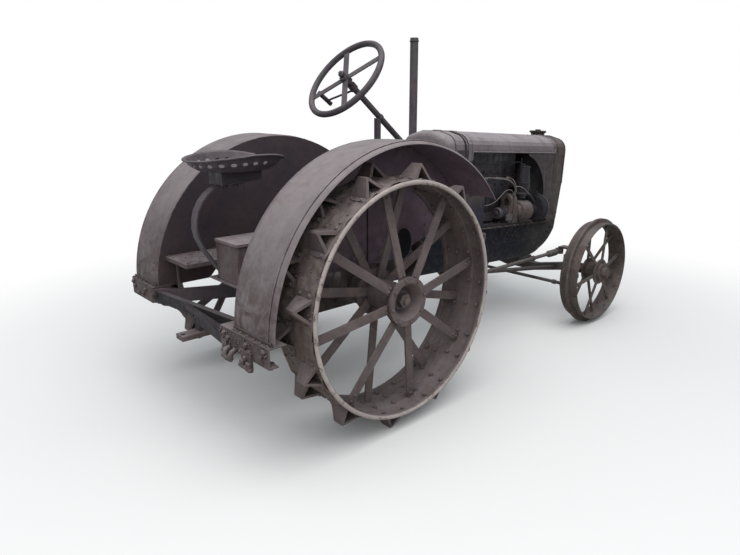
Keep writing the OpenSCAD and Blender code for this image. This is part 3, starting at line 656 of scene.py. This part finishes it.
def rear_wheel_details(side, body):
    wheel = look("wheel", "wheel_steel", body)
    outer, inner, studs, hub = [], [], [], []
    for a, z0 in LUG_FEET:
        for t in (-69, 69):
            for z in (z0 - 35, z0 + 35):
                outer.append((rear_at(side, 614.4, a, z, t), wheel_dir(side, 1, a, 0)))
                r = 593 if -48 < z < 54 else RIM_R
                b = a + asin(t / r)
                inner.append((rear_at(side, r, b, z), wheel_dir(side, -1, b, 0)))
    for i in range(REAR_SPOKES):
        a = radians(10 + i * 360 / REAR_SPOKES)
        b = a + radians(180 / REAR_SPOKES)
        hub.append((rear_at(side, 113, a, 130), wheel_dir(side, 0, a, 1)))
        hub.append((rear_at(side, 113, b, -130), wheel_dir(side, 0, b, -1)))
        for r in (535, 572):
            studs.append((rear_at(side, r, a, 110 - (r - 92) * 54 / 511), wheel_dir(side, 0.1, a, 1)))
            studs.append((rear_at(side, r, b, -110 + (r - 74) * 62 / 529), wheel_dir(side, 0.1, b, -1)))
        for t in (-11, 11):
            studs.append((rear_at(side, 135, a, 105, t), wheel_dir(side, 0.1, a, 1)))
    rivets(body + "_lug_bolts", outer, 11, 7, wheel, 3)
    bolts(body + "_lug_nuts", inner, 12.5, 11, wheel, 4)
    rivets(body + "_rivets", studs, 8.5, 6, wheel, 5)
    bolts(body + "_hub_nuts", hub, 9.5, 9, wheel, 6)


# The rolled edges of the rear rim.
def rim_edges(side, body):
    edge = [(RIM_R + 11.5 * cos(k * pi / 5), 8.5 * sin(k * pi / 5)) for k in range(10)]
    bm = bmesh.new()
    for z in (151, -151):
        loops = [[rear_at(side, r, i * pi / 90, z + dz) for r, dz in edge] for i in range(181)]
        skin(bm, loops, ends=False)
    bmesh.ops.remove_doubles(bm, verts=bm.verts, dist=0.00002)
    from_bmesh(body + "_rim_edges", bm, look("rim", "wheel_steel", body))


# Dirt heaped round the feet of the lugs.
def lug_dirt(side, body):
    chance = random.Random(15 if side < 0 else 16)
    heap = []
    for lug, z0 in LUG_FEET:
        for _ in range(80):
            a = lug + chance.gauss(0, 0.09)
            z = z0 + chance.gauss(0, 42)
            if abs(z) < 143:
                heap.append(rear_at(side, TREAD_R + chance.uniform(0, 3), a, z))
    crumbs(body + "_heaps", heap, 2.5, 8.5, look("mud", "wheel_steel", body), 17 + side)


# Caked mud on the tread: a grid lifted by lumps, and left out where it lies below the rim's face.
def tread_mud(side, body):
    chance = random.Random(11 if side < 0 else 12)
    around, over, half = 300, 26, 146
    lumps = [(chance.uniform(0, 6.283), chance.uniform(-150, 150), chance.uniform(0.02, 0.09),
              chance.uniform(8, 42), chance.uniform(4, 15)) for _ in range(460)]
    columns = [-half + j * 2 * half / (over - 1) for j in range(over)]
    heights, verts = [], []
    bm = bmesh.new()
    for i in range(around):
        a = i * 2 * pi / around
        near = [q for q in lumps if abs((a - q[0] + pi) % (2 * pi) - pi) < 3 * q[2]]
        row = []
        for z in columns:
            h = -3.0
            for la, lz, wa, wz, up in near:
                da = ((a - la + pi) % (2 * pi) - pi) / wa
                h = max(h, up * exp(-da * da - ((z - lz) / wz) ** 2) - 3.0 + chance.uniform(-1.6, 1.6))
            row.append(min(h, 11.0))
        heights.append(row)
        verts.append([bm.verts.new(rear_at(side, TREAD_R + h, a, z)) for z, h in zip(columns, row)])
    for i in range(around):
        k = (i + 1) % around
        for j in range(over - 1):
            if max(heights[i][j], heights[k][j], heights[i][j + 1], heights[k][j + 1]) > -1.5:
                bm.faces.new((verts[i][j], verts[k][j], verts[k][j + 1], verts[i][j + 1]))
    bmesh.ops.delete(bm, geom=[v for v in bm.verts if not v.link_faces], context="VERTS")
    from_bmesh(body + "_mud", bm, look("mud", "wheel_steel", body))


def front_wheel_details(side, body):
    wheel = look("front", "wheel_steel", body)
    studs, cap = [], []
    for i in range(FRONT_SPOKES):
        a = radians(12 + i * 360 / FRONT_SPOKES)
        b = a + radians(180 / FRONT_SPOKES)
        for t in (-0.09, 0.09):
            studs.append((front_at(side, 84, a + t, 56), wheel_dir(side, 0, a, 1)))
            studs.append((front_at(side, 80, b + t, -56), wheel_dir(side, 0, b, -1)))
        studs.append((front_at(side, 352, a, 23), wheel_dir(side, 0.1, a, 1)))
        studs.append((front_at(side, 352, b, -23), wheel_dir(side, 0.1, b, -1)))
        cap.append((front_at(side, 30, a, 113), wheel_dir(side, 0, a, 1)))
    rivets(body + "_rivets", studs, 7, 5, wheel, 7)
    bolts(body + "_cap_bolts", cap, 5, 5, wheel, 8)
    tread = [(front_at(side, 371, radians(i * 30), z), wheel_dir(side, -1, radians(i * 30), 0))
             for i in range(12) for z in (-30, 30)]
    bolts(body + "_tread_nuts", tread, 8, 7, wheel, 9)


def fender_at(side, r, a, y):
    return at(FENDER_X + r * cos(a), side * y, FENDER_Z + r * sin(a))


def fender_details(side, name):
    finish = "sheet" if side < 0 else "left_sheet_shaded"
    sheet = look(finish, "sheet_metal")
    angles = [radians(42 + i * 8.2) for i in range(17)]
    rivets(name + "_rivets", [(fender_at(side, 852.5, a, 452), (cos(a), 0, sin(a))) for a in angles], 6, 3,
           sheet, 13)
    foot = [(-803, 641.4), (-780, 641.4), (-780, 662), (-783, 662), (-784, 645), (-803, 645)]
    prisms(name + "_foot", [(foot, side * 448, side * 768, across)], RUSTY)
    # two beads along the arch
    bm = bmesh.new()
    rise = 3.2
    for y in (457.5, 739):
        r = 850.5 + (y - 438) * 8.5 / 290
        skin(bm, [[fender_at(side, r + dr, radians(37.5 + i * 141 / 72), y + dy) for dy, dr in (
            (-5, -1), (-3, 0.7 * rise), (0, rise), (3, 0.7 * rise), (5, -1))] for i in range(73)])
    from_bmesh(name + "_beads", bm, sheet)
    # an upright oval opening with a rim: the round profiles are narrowed along the tractor
    middle = at(334, side * 441.8, 882)
    rim = lathe(name + "_opening", [(97, -1), (97, 4), (95, 6), (92, 4), (91, 1.2), (40, 1)],
                middle, (0, side, 0), sheet, sides=48)
    # the opening's middle is a dark disc: painted shade standing for the hole
    dark = lathe(name + "_opening_shade", [(91.2, 0), (91.2, 2.6), (50, 2.2)], middle, (0, side, 0),
                 look("hole", "sheet_metal"), sides=48)
    for piece in (rim, dark):
        for v in piece.data.vertices:
            v.co.x = middle.x + 0.72 * (v.co.x - middle.x)
    prisms(name + "_seam", [(box(54, 63, 806, 1330), side * 441, side * 443.4, across)],
           look("hole", "sheet_metal"))
    chance = random.Random(21 + side)
    spots = [(at(-793 + chance.uniform(-2, 2), side * (478 + i * 55), 645), UP) for i in range(6)]
    bolts(name + "_foot_bolts", spots, 8, 7, RUSTY, 14)
    dirt = [at(-790 + chance.uniform(-9, 7), side * chance.uniform(450, 764), 645.5 + chance.uniform(-1, 1))
            for _ in range(170)]
    crumbs(name + "_foot_dirt", dirt, 1.5, 5.5, RUSTY_MUD, 30 + side)
    places = [(520 + chance.uniform(-4, 4), 905 + i * 60) for i in range(3)]
    places += [(168, 1010), (176, 925), (158, 865), (-40, 815), (-120, 815)]
    bolts(name + "_sheet_bolts", [(at(x, side * 441.5, z), (0, side, 0)) for x, z in places], 9, 6,
          look("sheet", "sheet_metal"), 15)


# The outline of hood, tank and radiator, as in the solid, at half width hw.
def hood_line(hw, low, top):
    right = [(-hw, low)]
    for i in range(5):
        a = radians(i * 18)
        right.append((-hw + SHOULDER - SHOULDER * cos(a), top - 22 - SHOULDER + SHOULDER * sin(a)))
    right.append((-hw / 3, top - 3))
    return right + [(-y, w) for y, w in reversed(right)]


# A band of thickness t along an open line, from u0 to u1.
def band(name, line, t, u0, u1, look):
    outer = []
    for i, p in enumerate(line):
        a, b = Vector(line[max(i - 1, 0)]), Vector(line[min(i + 1, len(line) - 1)])
        d = (b - a).normalized()
        outer.append((p[0] - d.y * t, p[1] + d.x * t))
    bm = bmesh.new()
    rows = [[fu(u, y, w) for y, w in part] for part in (line, outer) for u in (u0, u1)]
    skin(bm, [rows[0], rows[1], rows[3], rows[2], rows[0]], closed=False, ends=False)
    bmesh.ops.remove_doubles(bm, verts=bm.verts, dist=0.00001)
    bmesh.ops.holes_fill(bm, edges=[e for e in bm.edges if e.is_boundary])
    soften(from_bmesh(name, bm, look, smooth=False), 1)


def hood_details():
    for s, side in SIDES:
        pipe("hood_lip_" + side, [[fu(-626, s * 234, 541), fu(-100, s * 234.5, 541), fu(428, s * 234, 541)]],
             4.5, HOOD)
    for name, hw, low, top, t, u0, u1, finish in (
            ("hood_strap", 239.5, 482, 679, 1.6, -636.5, -625, HOOD),
            ("tank_strap", 230.5, 405, 675, 3.0, -704, -690, look("black", "sheet_metal")),
            ("tank_edge", 230.5, 405, 675, 2.5, -798, -790, HOOD),
            ("hood_front_edge", 236, 540, 678.6, 1.6, 404, 430, HOOD),
            ("radiator_seam", HOOD_HALF, 300, HOOD_TOP, 2.2, 452, 462, NOSE),
            ("radiator_nose", HOOD_HALF, 300, HOOD_TOP, 3.0, 556, 568, NOSE)):
        band(name, hood_line(hw, low, top), t, u0, u1, finish)
    spots = []
    for s in (-1, 1):
        spots += [(fu(-560 + i * 155, s * 236, 556), (0, s, 0)) for i in range(7)]
        spots += [(fu(416, s * 237.6, 556 + i * 14), (0, s, 0)) for i in range(5)]
    spots += [(fu(417, y, 676.4), FU_UP) for y in (-70, -35, 0, 35, 70)]
    rivets("hood_rivets", spots, 5.5, 3, HOOD, 31)
    spots = [(fu(u, s * 232, w), (0, s, 0)) for s in (-1, 1) for u, w in (
        (-780, 30), (-780, 120), (-780, 210), (-780, 300), (-780, 380), (-645, 395), (-470, 20), (-470, 130),
        (-470, 215), (-560, 226), (420, 60), (420, 180), (420, 330), (420, 470), (372, 30), (340, 180),
        (330, 360), (250, 470), (120, 530))]
    rivets("panel_screws", spots, 6, 4, PANEL_SHADED, 32)
    # the tank's crowned rear end: its outline shrinks about its middle
    bm = bmesh.new()
    line, middle = hood_line(229, 402, 673.5), 540
    skin(bm, [[fu(u, y * k, middle + (w - middle) * k) for y, w in line] for u, k in (
        (-796, 1.0), (-812, 0.992), (-832, 0.965), (-850, 0.91), (-862, 0.82), (-869, 0.66), (-872, 0.4))])
    from_bmesh("tank_end", bm, HOOD)
    grips = [(fu(510 + 64.5 * cos(i * pi / 12), 64.5 * sin(i * pi / 12), 703),
              fu_dir(cos(i * pi / 12), sin(i * pi / 12), 0)) for i in range(24)]
    rivets("radiator_cap_grips", grips, 5, 5, NOSE, 33)


def radiator_details():
    fins = [(box(-184, 184, 94 + i * 7.2, 94 + i * 7.2 + 1.4), 524, 545, along_fu) for i in range(60)]
    prisms("radiator_fins", fins, look("black", "slate_steel"), width=0.3)
    prisms("radiator_support", [(box(-196, 196, -70, 24), 470, 478, along_fu)], TROUGH)
    bars = [(box(*b), 545, 556, along_fu) for b in (
        (-192, -180, 84, 526), (180, 192, 84, 526), (-180, 180, 84, 96), (-180, 180, 514, 526))]
    prisms("radiator_frame", bars, NOSE)
    spots = []
    for s in (-1, 1):
        spots += [(fu(568, s * 199, 60 + i * 60), FU_AHEAD) for i in range(9)]
        spots += [(fu(u, s * 219, 60), fu_dir(0, s, -0.07)) for u in (450, 500, 550)]
    spots += [(fu(568, -150 + i * 60, w), FU_AHEAD) for i in range(6) for w in (560, 50)]
    bolts("radiator_bolts", spots, 8, 7, NOSE, 34)
    band("radiator_tank_seam", hood_line(HOOD_HALF, 522, HOOD_TOP)[:3], 2.5, 462, 556, NOSE)


def engine_details():
    # spark plugs: hexagon in the solid, porcelain and terminal here
    for i in range(4):
        u = PLUG_U + i * PLUG_STEP
        lathe("plug_%d" % i, [(8.5, 0), (8.5, 4), (6.2, 7), (5.8, 22), (4.5, 25)], fu(u, -154, 351),
              RIGHT, look("pale", "wire"), sides=16, smooth=True)
        lathe("plug_top_%d" % i, [(3, 0), (3, 6), (5.5, 7), (5.5, 11), (3, 13)], fu(u, -178, 351),
              RIGHT, look("brass", "wire"), sides=12, smooth=True)
    # wires from the plugs to the magneto, to the drum and back along the block
    runs = [
        [(-470, -205, 352), (-400, -214, 362), (-335, -212, 360), (-204, -232, 351), (-120, -236, 316),
         (-88, -232, 274), (-76, -222, 250)],
        [(-350, -206, 355), (-300, -222, 352), (-204, -236, 345), (-118, -240, 308), (-84, -236, 268),
         (-70, -226, 246)],
        [(-215, -206, 346), (-160, -226, 332), (-104, -236, 296), (-76, -234, 262)],
        [(-86, -208, 340), (-74, -226, 306), (-62, -232, 268)]]
    wires = [[(PLUG_U + i * PLUG_STEP, -188, 351), *run, (-84 + i * 9, -214 - i * 3, 236 - i)]
             for i, run in enumerate(runs)]
    wires += [[(-94, -230, 292), (-40, -252, 289), (46, -262, 245), (120, -252, 205), (170, -240, 178),
               (214, -226, 151)],
              [(-96, -224, 233), (-110, -232, 250), (-150, -240, 268), (-200, -240, 267), (-250, -240, 240),
               (-292, -240, 211), (-349, -240, 182), (-400, -238, 170), (-447, -235, 165)]]
    pipe("plug_wires", [[fu(*p) for p in wire] for wire in wires], 2.8, look("wire", "wire"))
    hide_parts("ignition_wires")
    spots = []
    for i in range(8):
        spots += [(fu(-600 + i * 86, -125, 396), RIGHT), (fu(-600 + i * 86, 125, 440), LEFT)]
    spots += [(fu(-600 + i * 120, y, 538), FU_UP) for i in range(6) for y in (-60, 60)]
    spots += [(fu(-560 + i * 90, -130, w), RIGHT) for i in range(7) for w in (60, 300)]
    spots += [(fu(-620 + i * 98, s * 216, 22), FU_UP) for s in (-1, 1) for i in range(9)]
    bolts("engine_bolts", spots, 9.5, 9, FRAME, 41)
    covers = [(box(*b), y0, y1, across_fu) for b, y0, y1 in (
        ((-560, -330, 80, 280), -137, -130), ((-300, -180, 80, 280), -137, -130),
        ((-626, 26, 452, 460), -143, 143), ((-626, 26, 374, 380), -134, 134),
        ((-560, -330, 80, 280), 130, 137), ((-300, -60, 80, 280), 130, 137))]
    prisms("engine_covers", covers, FRAME, width=3)
    spots = []
    for s in (-1, 1):
        for u0, u1 in ((-560, -330), (-300, -180 if s < 0 else -60)):
            spots += [(fu(u, s * 137, w), (0, s, 0)) for u in (u0 + 14, (u0 + u1) / 2, u1 - 14)
                      for w in (94, 266)]
    bolts("cover_bolts", spots, 7.5, 6, FRAME, 42)
    # filler, fuel line and oil line
    lathe("breather", [(20, 0), (20, 50), (26, 55), (26, 75), (16, 85)], fu(-60, -185, 22), FU_UP, FRAME)
    lines = [[(4, -205, 500), (-2, -214, 430), (-6, -216, 360), (-4, -212, 300), (6, -205, 262)],
             [(58, -205, 434), (20, -214, 452), (-30, -200, 470), (-120, -170, 440)],
             [(-640, -196, 400), (-620, -200, 330), (-560, -190, 240), (-470, -176, 120), (-440, -176, 96)]]
    pipe("lines", [[fu(*p) for p in line] for line in lines], 4, look("black", "dark_frame"))


def accessory_details():
    # magneto: screws, cap, rings, foot and clamp
    rust = {m: look(m, "rusty_steel") for m in ("tan", "slate", "black", "pale_metal", "iron")}
    y, w = MAGNETO[0], 147
    spots = [(fu(u, y + dy, w + dw), way) for u, way in ((-65, FU_AHEAD), (-140, FU_BACK))
             for dy in (-36, 36) for dw in (-34, 40)]
    spots += [(fu(-145 + i * 48, -245, 38), RIGHT) for i in range(3)]
    bolts("magneto_screws", spots, 6.5, 6, rust["tan"], 51)
    cap = [(41, 0), (41, 3), (37, 6), (33, 6), (31, 2), (16, 3), (15, 11), (8, 12)]
    lathe("magneto_cap", cap, fu(-250, *MAGNETO), FU_BACK, rust["slate"])
    lathe("magneto_sleeve", [(40.5, 0), (41.2, 1), (41.2, 57), (40.5, 58)], fu(-226, *MAGNETO),
          FU_AHEAD, rust["black"])
    for i, u in enumerate((-242, -168)):
        lathe("magneto_ring_%d" % i, collar(41.5, 44, 2, 10), fu(u, *MAGNETO), FU_AHEAD, rust["slate"])
    foot = [(-186, 40), (-98, 40), (-98, 76), (-108, 88), (-176, 88), (-186, 76)]
    prisms("magneto_base", [(foot, -252, -236, across_fu)], rust["pale_metal"], width=3)
    prisms("magneto_clamp", [(box(-112, -94, 18, 236), -252, -248, across_fu),
                             (box(-112, -94, 230, 236), -250, -160, across_fu)], rust["iron"])
    # housing and drum: rings of bolts, ribs, the drum's flange ring made pale as a painted highlight, and its
    # terminal
    spots = []
    for i in range(8):
        for u, (y, w), r, way in ((123, HOUSING, 54, FU_AHEAD), (-15, HOUSING, 60, FU_BACK),
                                  (215, DRUM, 92, FU_BACK), (290, DRUM, 92, FU_AHEAD)):
            a = radians(22 + i * 45)
            spots.append((fu(u, y + r * cos(a), w + r * sin(a)), way))
    bolts("housing_bolts", spots, 6.5, 6, TAN, 52)
    for i, (u, r, p) in enumerate(((8, 79.5, HOUSING), (96, 79.5, HOUSING), (236, 106.5, DRUM),
                                   (262, 106.5, DRUM))):
        lathe("housing_rib_%d" % i, collar(r - 3, r, 1, 8), fu(u, *p), FU_AHEAD, TAN, sides=48)
    lathe("drum_ring_highlight", collar(108, 111.5, 1, 9), fu(283, *DRUM), FU_AHEAD,
          look("pale_metal", "iron"), sides=48)
    prisms("drum_terminal", [(box(226, 262, 212, 232), -232, -190, across_fu),
                             (box(236, 250, 232, 246), -220, -204, across_fu)], TAN, width=3)
    # canister: bands, lid and foot
    for i, w in enumerate((232, 318)):
        lathe("canister_band_%d" % i, collar(54, 58, 1, 10), fu(*CANISTER, w), FU_UP,
              look("iron", "dark_frame"))
    lathe("canister_lid", [(47, 0), (50, 2), (50, 10), (30, 16), (12, 18), (12, 26), (6, 30)],
          fu(*CANISTER, 428), FU_UP, FRAME)
    lathe("canister_foot", [(30, -30), (34, -26), (34, -2), (56, 0), (56, 6)], fu(*CANISTER, 224),
          FU_UP, FRAME)


def frame_details():
    spots = [(fu(-1320 + i * 104, s * 214, -28), (0, s, 0)) for s in (-1, 1) for i in range(17)]
    rivets("frame_rivets", spots, 9, 5, TROUGH, 61)
    spots = [(fu(u, -214, w), RIGHT) for u, w in (
        (-125, -60), (-95, -84), (-51, -91), (-20, -60), (39, -110), (10, -100), (-198, -62), (-260, -100),
        (-288, -116), (470, -100), (490, -60))]
    bolts("frame_bolts", spots, 11, 11, FRAME, 62)
    # dirt on the frame's right flange
    chance = random.Random(63)
    dirt = [fu(chance.uniform(-640, 430), -chance.uniform(233, 258), 1 + chance.uniform(0, 2))
            for _ in range(150)]
    crumbs("frame_dirt", dirt, 2, 6, look("mud", "dark_frame"), 64)
    # transmission: bolts, covers, ribs
    spots = [(at(-170 + i * 95, y, 890), UP) for i in range(7) for y in (-190, 190)]
    for s in (-1, 1):
        spots += [(at(x, s * 230, REAR_Z + z), (0, s, 0)) for x, z in ring(135, 10, 18)]
        spots += [(at(x, s * 526, REAR_Z + z), (0, -s, 0)) for x, z in ring(102, 8, 22)]
        spots += [(at(x, s * 207, z), (0, s, 0)) for x, z in (
            (200, 850), (300, 850), (400, 850), (250, 560), (350, 560), (-150, 850), (-200, 600))]
    bolts("case_bolts", spots, 11, 10, IRON, 65)
    prisms("case_covers", [(box(-150, 70, -150, 150), 889, 898, at),
                           (box(200, 410, -150, 150), 889, 896, at)], IRON, width=3)
    spots = [(at(x, y, 898), UP) for x in (-135, -40, 55) for y in (-135, 0, 135)]
    spots += [(at(x, y, 896), UP) for x in (215, 305, 395) for y in (-135, 135)]
    bolts("cover_screws", spots, 9, 7, IRON, 66)
    for s, side in SIDES:
        for i, y in enumerate((300, 380)):
            lathe("trumpet_rib_%s_%d" % (side, i), collar(94, 101, 4, 16),
                  at(0, s * y, REAR_Z), (0, s, 0), IRON, sides=48)
    for i, x in enumerate((-50, 50)):
        ribs = [(box(x - 6, x + 6, 505, 880), y, y + 6, across) for y in (-211, 205)]
        prisms("case_rib_%d" % i, ribs, IRON, width=3)
    lathe("pulley_nut", [(30, 0), (30, 6), (20, 8), (20, 16), (12, 20)], at(440, -402, 770), RIGHT,
          look("iron", "iron", "belt_pulley"), sides=6)


def rear_details():
    # bolts on the cross bar and under it
    spots = [(at(BAR_X, y, z), BACK) for y, z in (
        (-394, 615), (-430, 601), (-410, 560), (-618, 584), (-590, 610), (-717, 590), (-740, 620),
        (-548, 570), (667, 569), (722, 601), (592, 580), (740, 625), (430, 600), (560, 610))]
    spots += [(at(BAR_X - 12, y, z), BACK) for y, z in (
        (-398, 505), (-398, 535), (-575, 525), (-620, 525), (-598, 552))]
    bolts("bar_bolts", spots, 13, 12, BAR, 71)
    spots = [(at(-755, y, 545), DOWN) for y in (-430, -560, -640, -720, 560, 640, 720)]
    bolts("bar_under_bolts", spots, 11, 20, BAR, 72)
    # the bar's bent corner at the left foot, and the edge of the sheet above it
    bm = bmesh.new()
    corner = [(0, 0, 553), (0, 0, 637), (34, -3, 637), (34, -3, 631), (7, -1, 631), (7, -1, 553)]
    skin(bm, [[at(x + dx, y + dy, z) for dx, dy, z in corner] for x, y in (
        (-799.5, 500), (-799.5, 474), (-798, 455), (-792, 438), (-778, 424), (-740, 406))])
    from_bmesh("bar_corner", bm, RUSTY, smooth=False)
    prisms("bar_corner_strip", [(box(-786, -700, 622, 651), 437, 440, across)], RUSTY)
    # a shackle and clevises hanging from the right end
    shackle = [(-800, -436, 556), (-826, -436, 542), (-830, -444, 516), (-818, -462, 506), (-828, -480, 516),
               (-824, -488, 542), (-800, -488, 556)]
    pipe("shackle", [[at(*p) for p in shackle]], 13, BAR, sides=4)
    prisms("clevis", [(box(-826, -808, 494, 540), -644, -606, across),
                      (box(-826, -808, 500, 540), -592, -556, across)], BAR, width=6)
    pipe("clevis_pin", [[at(-817, y, 508) for y in (-652, -600, -548)]], 10, BAR)
    chance = random.Random(78)
    dirt = [at(BAR_X - 1 - chance.uniform(0, 5), -chance.uniform(352, 766), chance.uniform(550, 632))
            for _ in range(130)]
    crumbs("bar_dirt", dirt, 1.5, 5.5, BAR, 79)
    # toolbox: folded borders, rivets and hinge
    x, y = -635, -267.5
    border = [(box(*b), x - 2.5, x + 1, along) for b in (
        (-265, -251, 774, 982), (-59, -45, 774, 982), (-265, -45, 774, 788))]
    border += [(box(*b), y, y + 3.5, across) for b in (
        (-635, -621, 774, 973), (-354, -340, 774, 973), (-635, -340, 774, 788))]
    border.append((box(-648, -618, 766, 776), -285, -25, across))
    prisms("toolbox_borders", border, RUSTY, width=1)
    spots = [(at(x - 2.5, y, z), BACK) for y in (-258, -52) for z in (800, 860, 920, 965)]
    spots += [(at(-628 + i * 94, -267.5, 781), RIGHT) for i in range(4)]
    rivets("toolbox_rivets", spots, 4, 2.5, RUSTY, 73)
    knuckles = [[at(x + i * 52, -41.2, 976.8) for x in (-620, -600, -580)] for i in range(5)]
    pipe("toolbox_hinge", knuckles, 3.8, RUSTY)
    # platform: folded edge of the shelf, bolts, dirt
    prisms("shelf_edges", [(box(-716.5, -713, 796, 820), 158, 436, across),
                           (box(-716, -403, 797, 813), 156.5, 159, across)], RUSTY, width=1)
    spots = [(at(-700 + i * 70, y, 820), UP) for i in range(5) for y in (175, 418)]
    spots += [(at(x, y, 774), UP) for x in (-560, -530) for y in (-18, 18)]
    bolts("platform_bolts", spots, 7, 6, RUSTY, 74)
    chance = random.Random(75)
    dirt = [at(chance.uniform(-710, -408), chance.uniform(162, 434), 820.5) for _ in range(110)]
    dirt += [at(chance.uniform(-640, -260), chance.uniform(-286, -269), 774.5) for _ in range(70)]
    crumbs("platform_dirt", dirt, 1.5, 6, RUSTY_MUD, 76)
    # seat: bolts below and the edges of its bracket
    spots = [(at(-540 + i * 60, y, 1259.5 + i * 4.9), DOWN) for i in range(2) for y in (-18, 18)]
    spots += [(at(-470, y, 1265.5), DOWN) for y in (-54, 54)]
    bolts("seat_bolts", spots, 11, 22, SLATE, 77)
    edge = [(-592, 1254), (-356, 1273), (-356, 1279), (-592, 1260)]
    prisms("seat_bracket_edges", [(edge, y, y + 8, across) for y in (-74, 66)], SLATE)


def steering_details():
    hub, tilt = at(121, -196, 1789), radians(38.7)
    down = Vector((cos(tilt), 0, -sin(tilt)))
    lathe("wheel_nut", [(20, 0), (20, 10), (12, 14), (12, 20), (7, 23)], hub - down * 0.030, -down,
          look("slate", "slate_steel", "steering_wheel"), sides=6)
    # gear housing at the foot of the column
    spots = [(fu(-780 + i * 55, -225, w), RIGHT) for i in range(3) for w in (78, 205)]
    bolts("steering_bolts", spots, 9.5, 8, GEAR, 81)
    lathe("steering_cover", [(52, 0), (52, 8), (44, 14), (20, 18)], fu(-725, -225, 140), RIGHT, GEAR)
    for i, d in enumerate((0.32, 0.62, 1.02)):
        lathe("column_band_%d" % i, collar(16.5, 21.5, 2, 20), hub + down * d, down, SLATE)
    rod = [hub + down * d + Vector((0, y, 0.004)) for d, y in ((0.10, 0.030), (0.5, 0.031), (1.10, 0.030))]
    pipe("column_rod", [rod], 5, SLATE)
    # collars and spring housing of the drag link, collars of the tie rod, seals of the knuckles
    for i, x in enumerate((1130, 1180, 1860, 2140)):
        lathe("link_collar_%d" % i, collar(14, 21, 2, 28), at(x, LINK_Y, LINK_Z), (1, 0, 0), DRAG_LINK)
    lathe("link_socket", [(16, 0), (25, 6), (27, 12), (27, 108), (24, 122), (12, 126)],
          at(2088, LINK_Y, LINK_Z - 2), (1, 0, 0), DRAG_LINK, sides=32)
    for s, side in SIDES:
        lathe("tie_collar_" + side, collar(13, 18, 2, 32), at(2088, s * 430, TIE_Z),
              (0, -s, 0), look("link", "dark_frame", "tie_rod"))
        lathe("knuckle_seal_" + side, collar(34, 40, 3, 17),
              at(FRONT_X, s * 535, FRONT_Z), (0, s, 0), look("link", "dark_frame", "knuckle_" + side))
        spots = [(at(FRONT_X, s * KING_Y, FRONT_Z + 90), UP), (at(FRONT_X, s * KING_Y, FRONT_Z - 90), DOWN)]
        bolts("kingpin_nuts_" + side, spots, 18, 12, FRAME, 83)
    bolts("pitman_nut", [(at(1075, -330, z), RIGHT) for z in (915, 536)], 16, 11,
          look("frame", "dark_frame", "pitman_arm"), 84)
    spots = [(at(2130 + i * 120, y, 372), DOWN) for i in range(2) for y in (-38, 38)]
    bolts("axle_bolts", spots, 12, 12, FRAME, 85)
    # exhaust: clamp rings and manifold nuts
    for i, z in enumerate((1185, 1192, 2090)):
        lathe("stack_ring_%d" % i, collar(28.5, 34.5, 1, 7), at(1145, 279, z), UP, SLATE)
    spots = [(fu(-585 + i * 150 + d, 185, 345), LEFT) for i in range(4) for d in (0, 60)]
    bolts("manifold_nuts", spots, 8, 8, SLATE, 86)


make_camera()
make_world()
area_light("sky", (-1.5, -2.0, 6.5), (7, 7), 305, (1.0, 0.99, 0.97))
area_light("side", (-5.5, -4.5, 3.2), (4, 3), 60, (1.0, 0.98, 0.95))
make_floor()
dress_cad()
for s, side in SIDES:
    wheel = "rear_wheel_" + side
    for add in (rear_wheel_details, rim_edges, lug_dirt, tread_mud):
        add(s, wheel)
    front_wheel_details(s, "front_wheel_" + side)
    fender_details(s, "fender_" + side)
hood_details()
radiator_details()
engine_details()
accessory_details()
frame_details()
rear_details()
steering_details()

scene.view_settings.view_transform = "Standard"
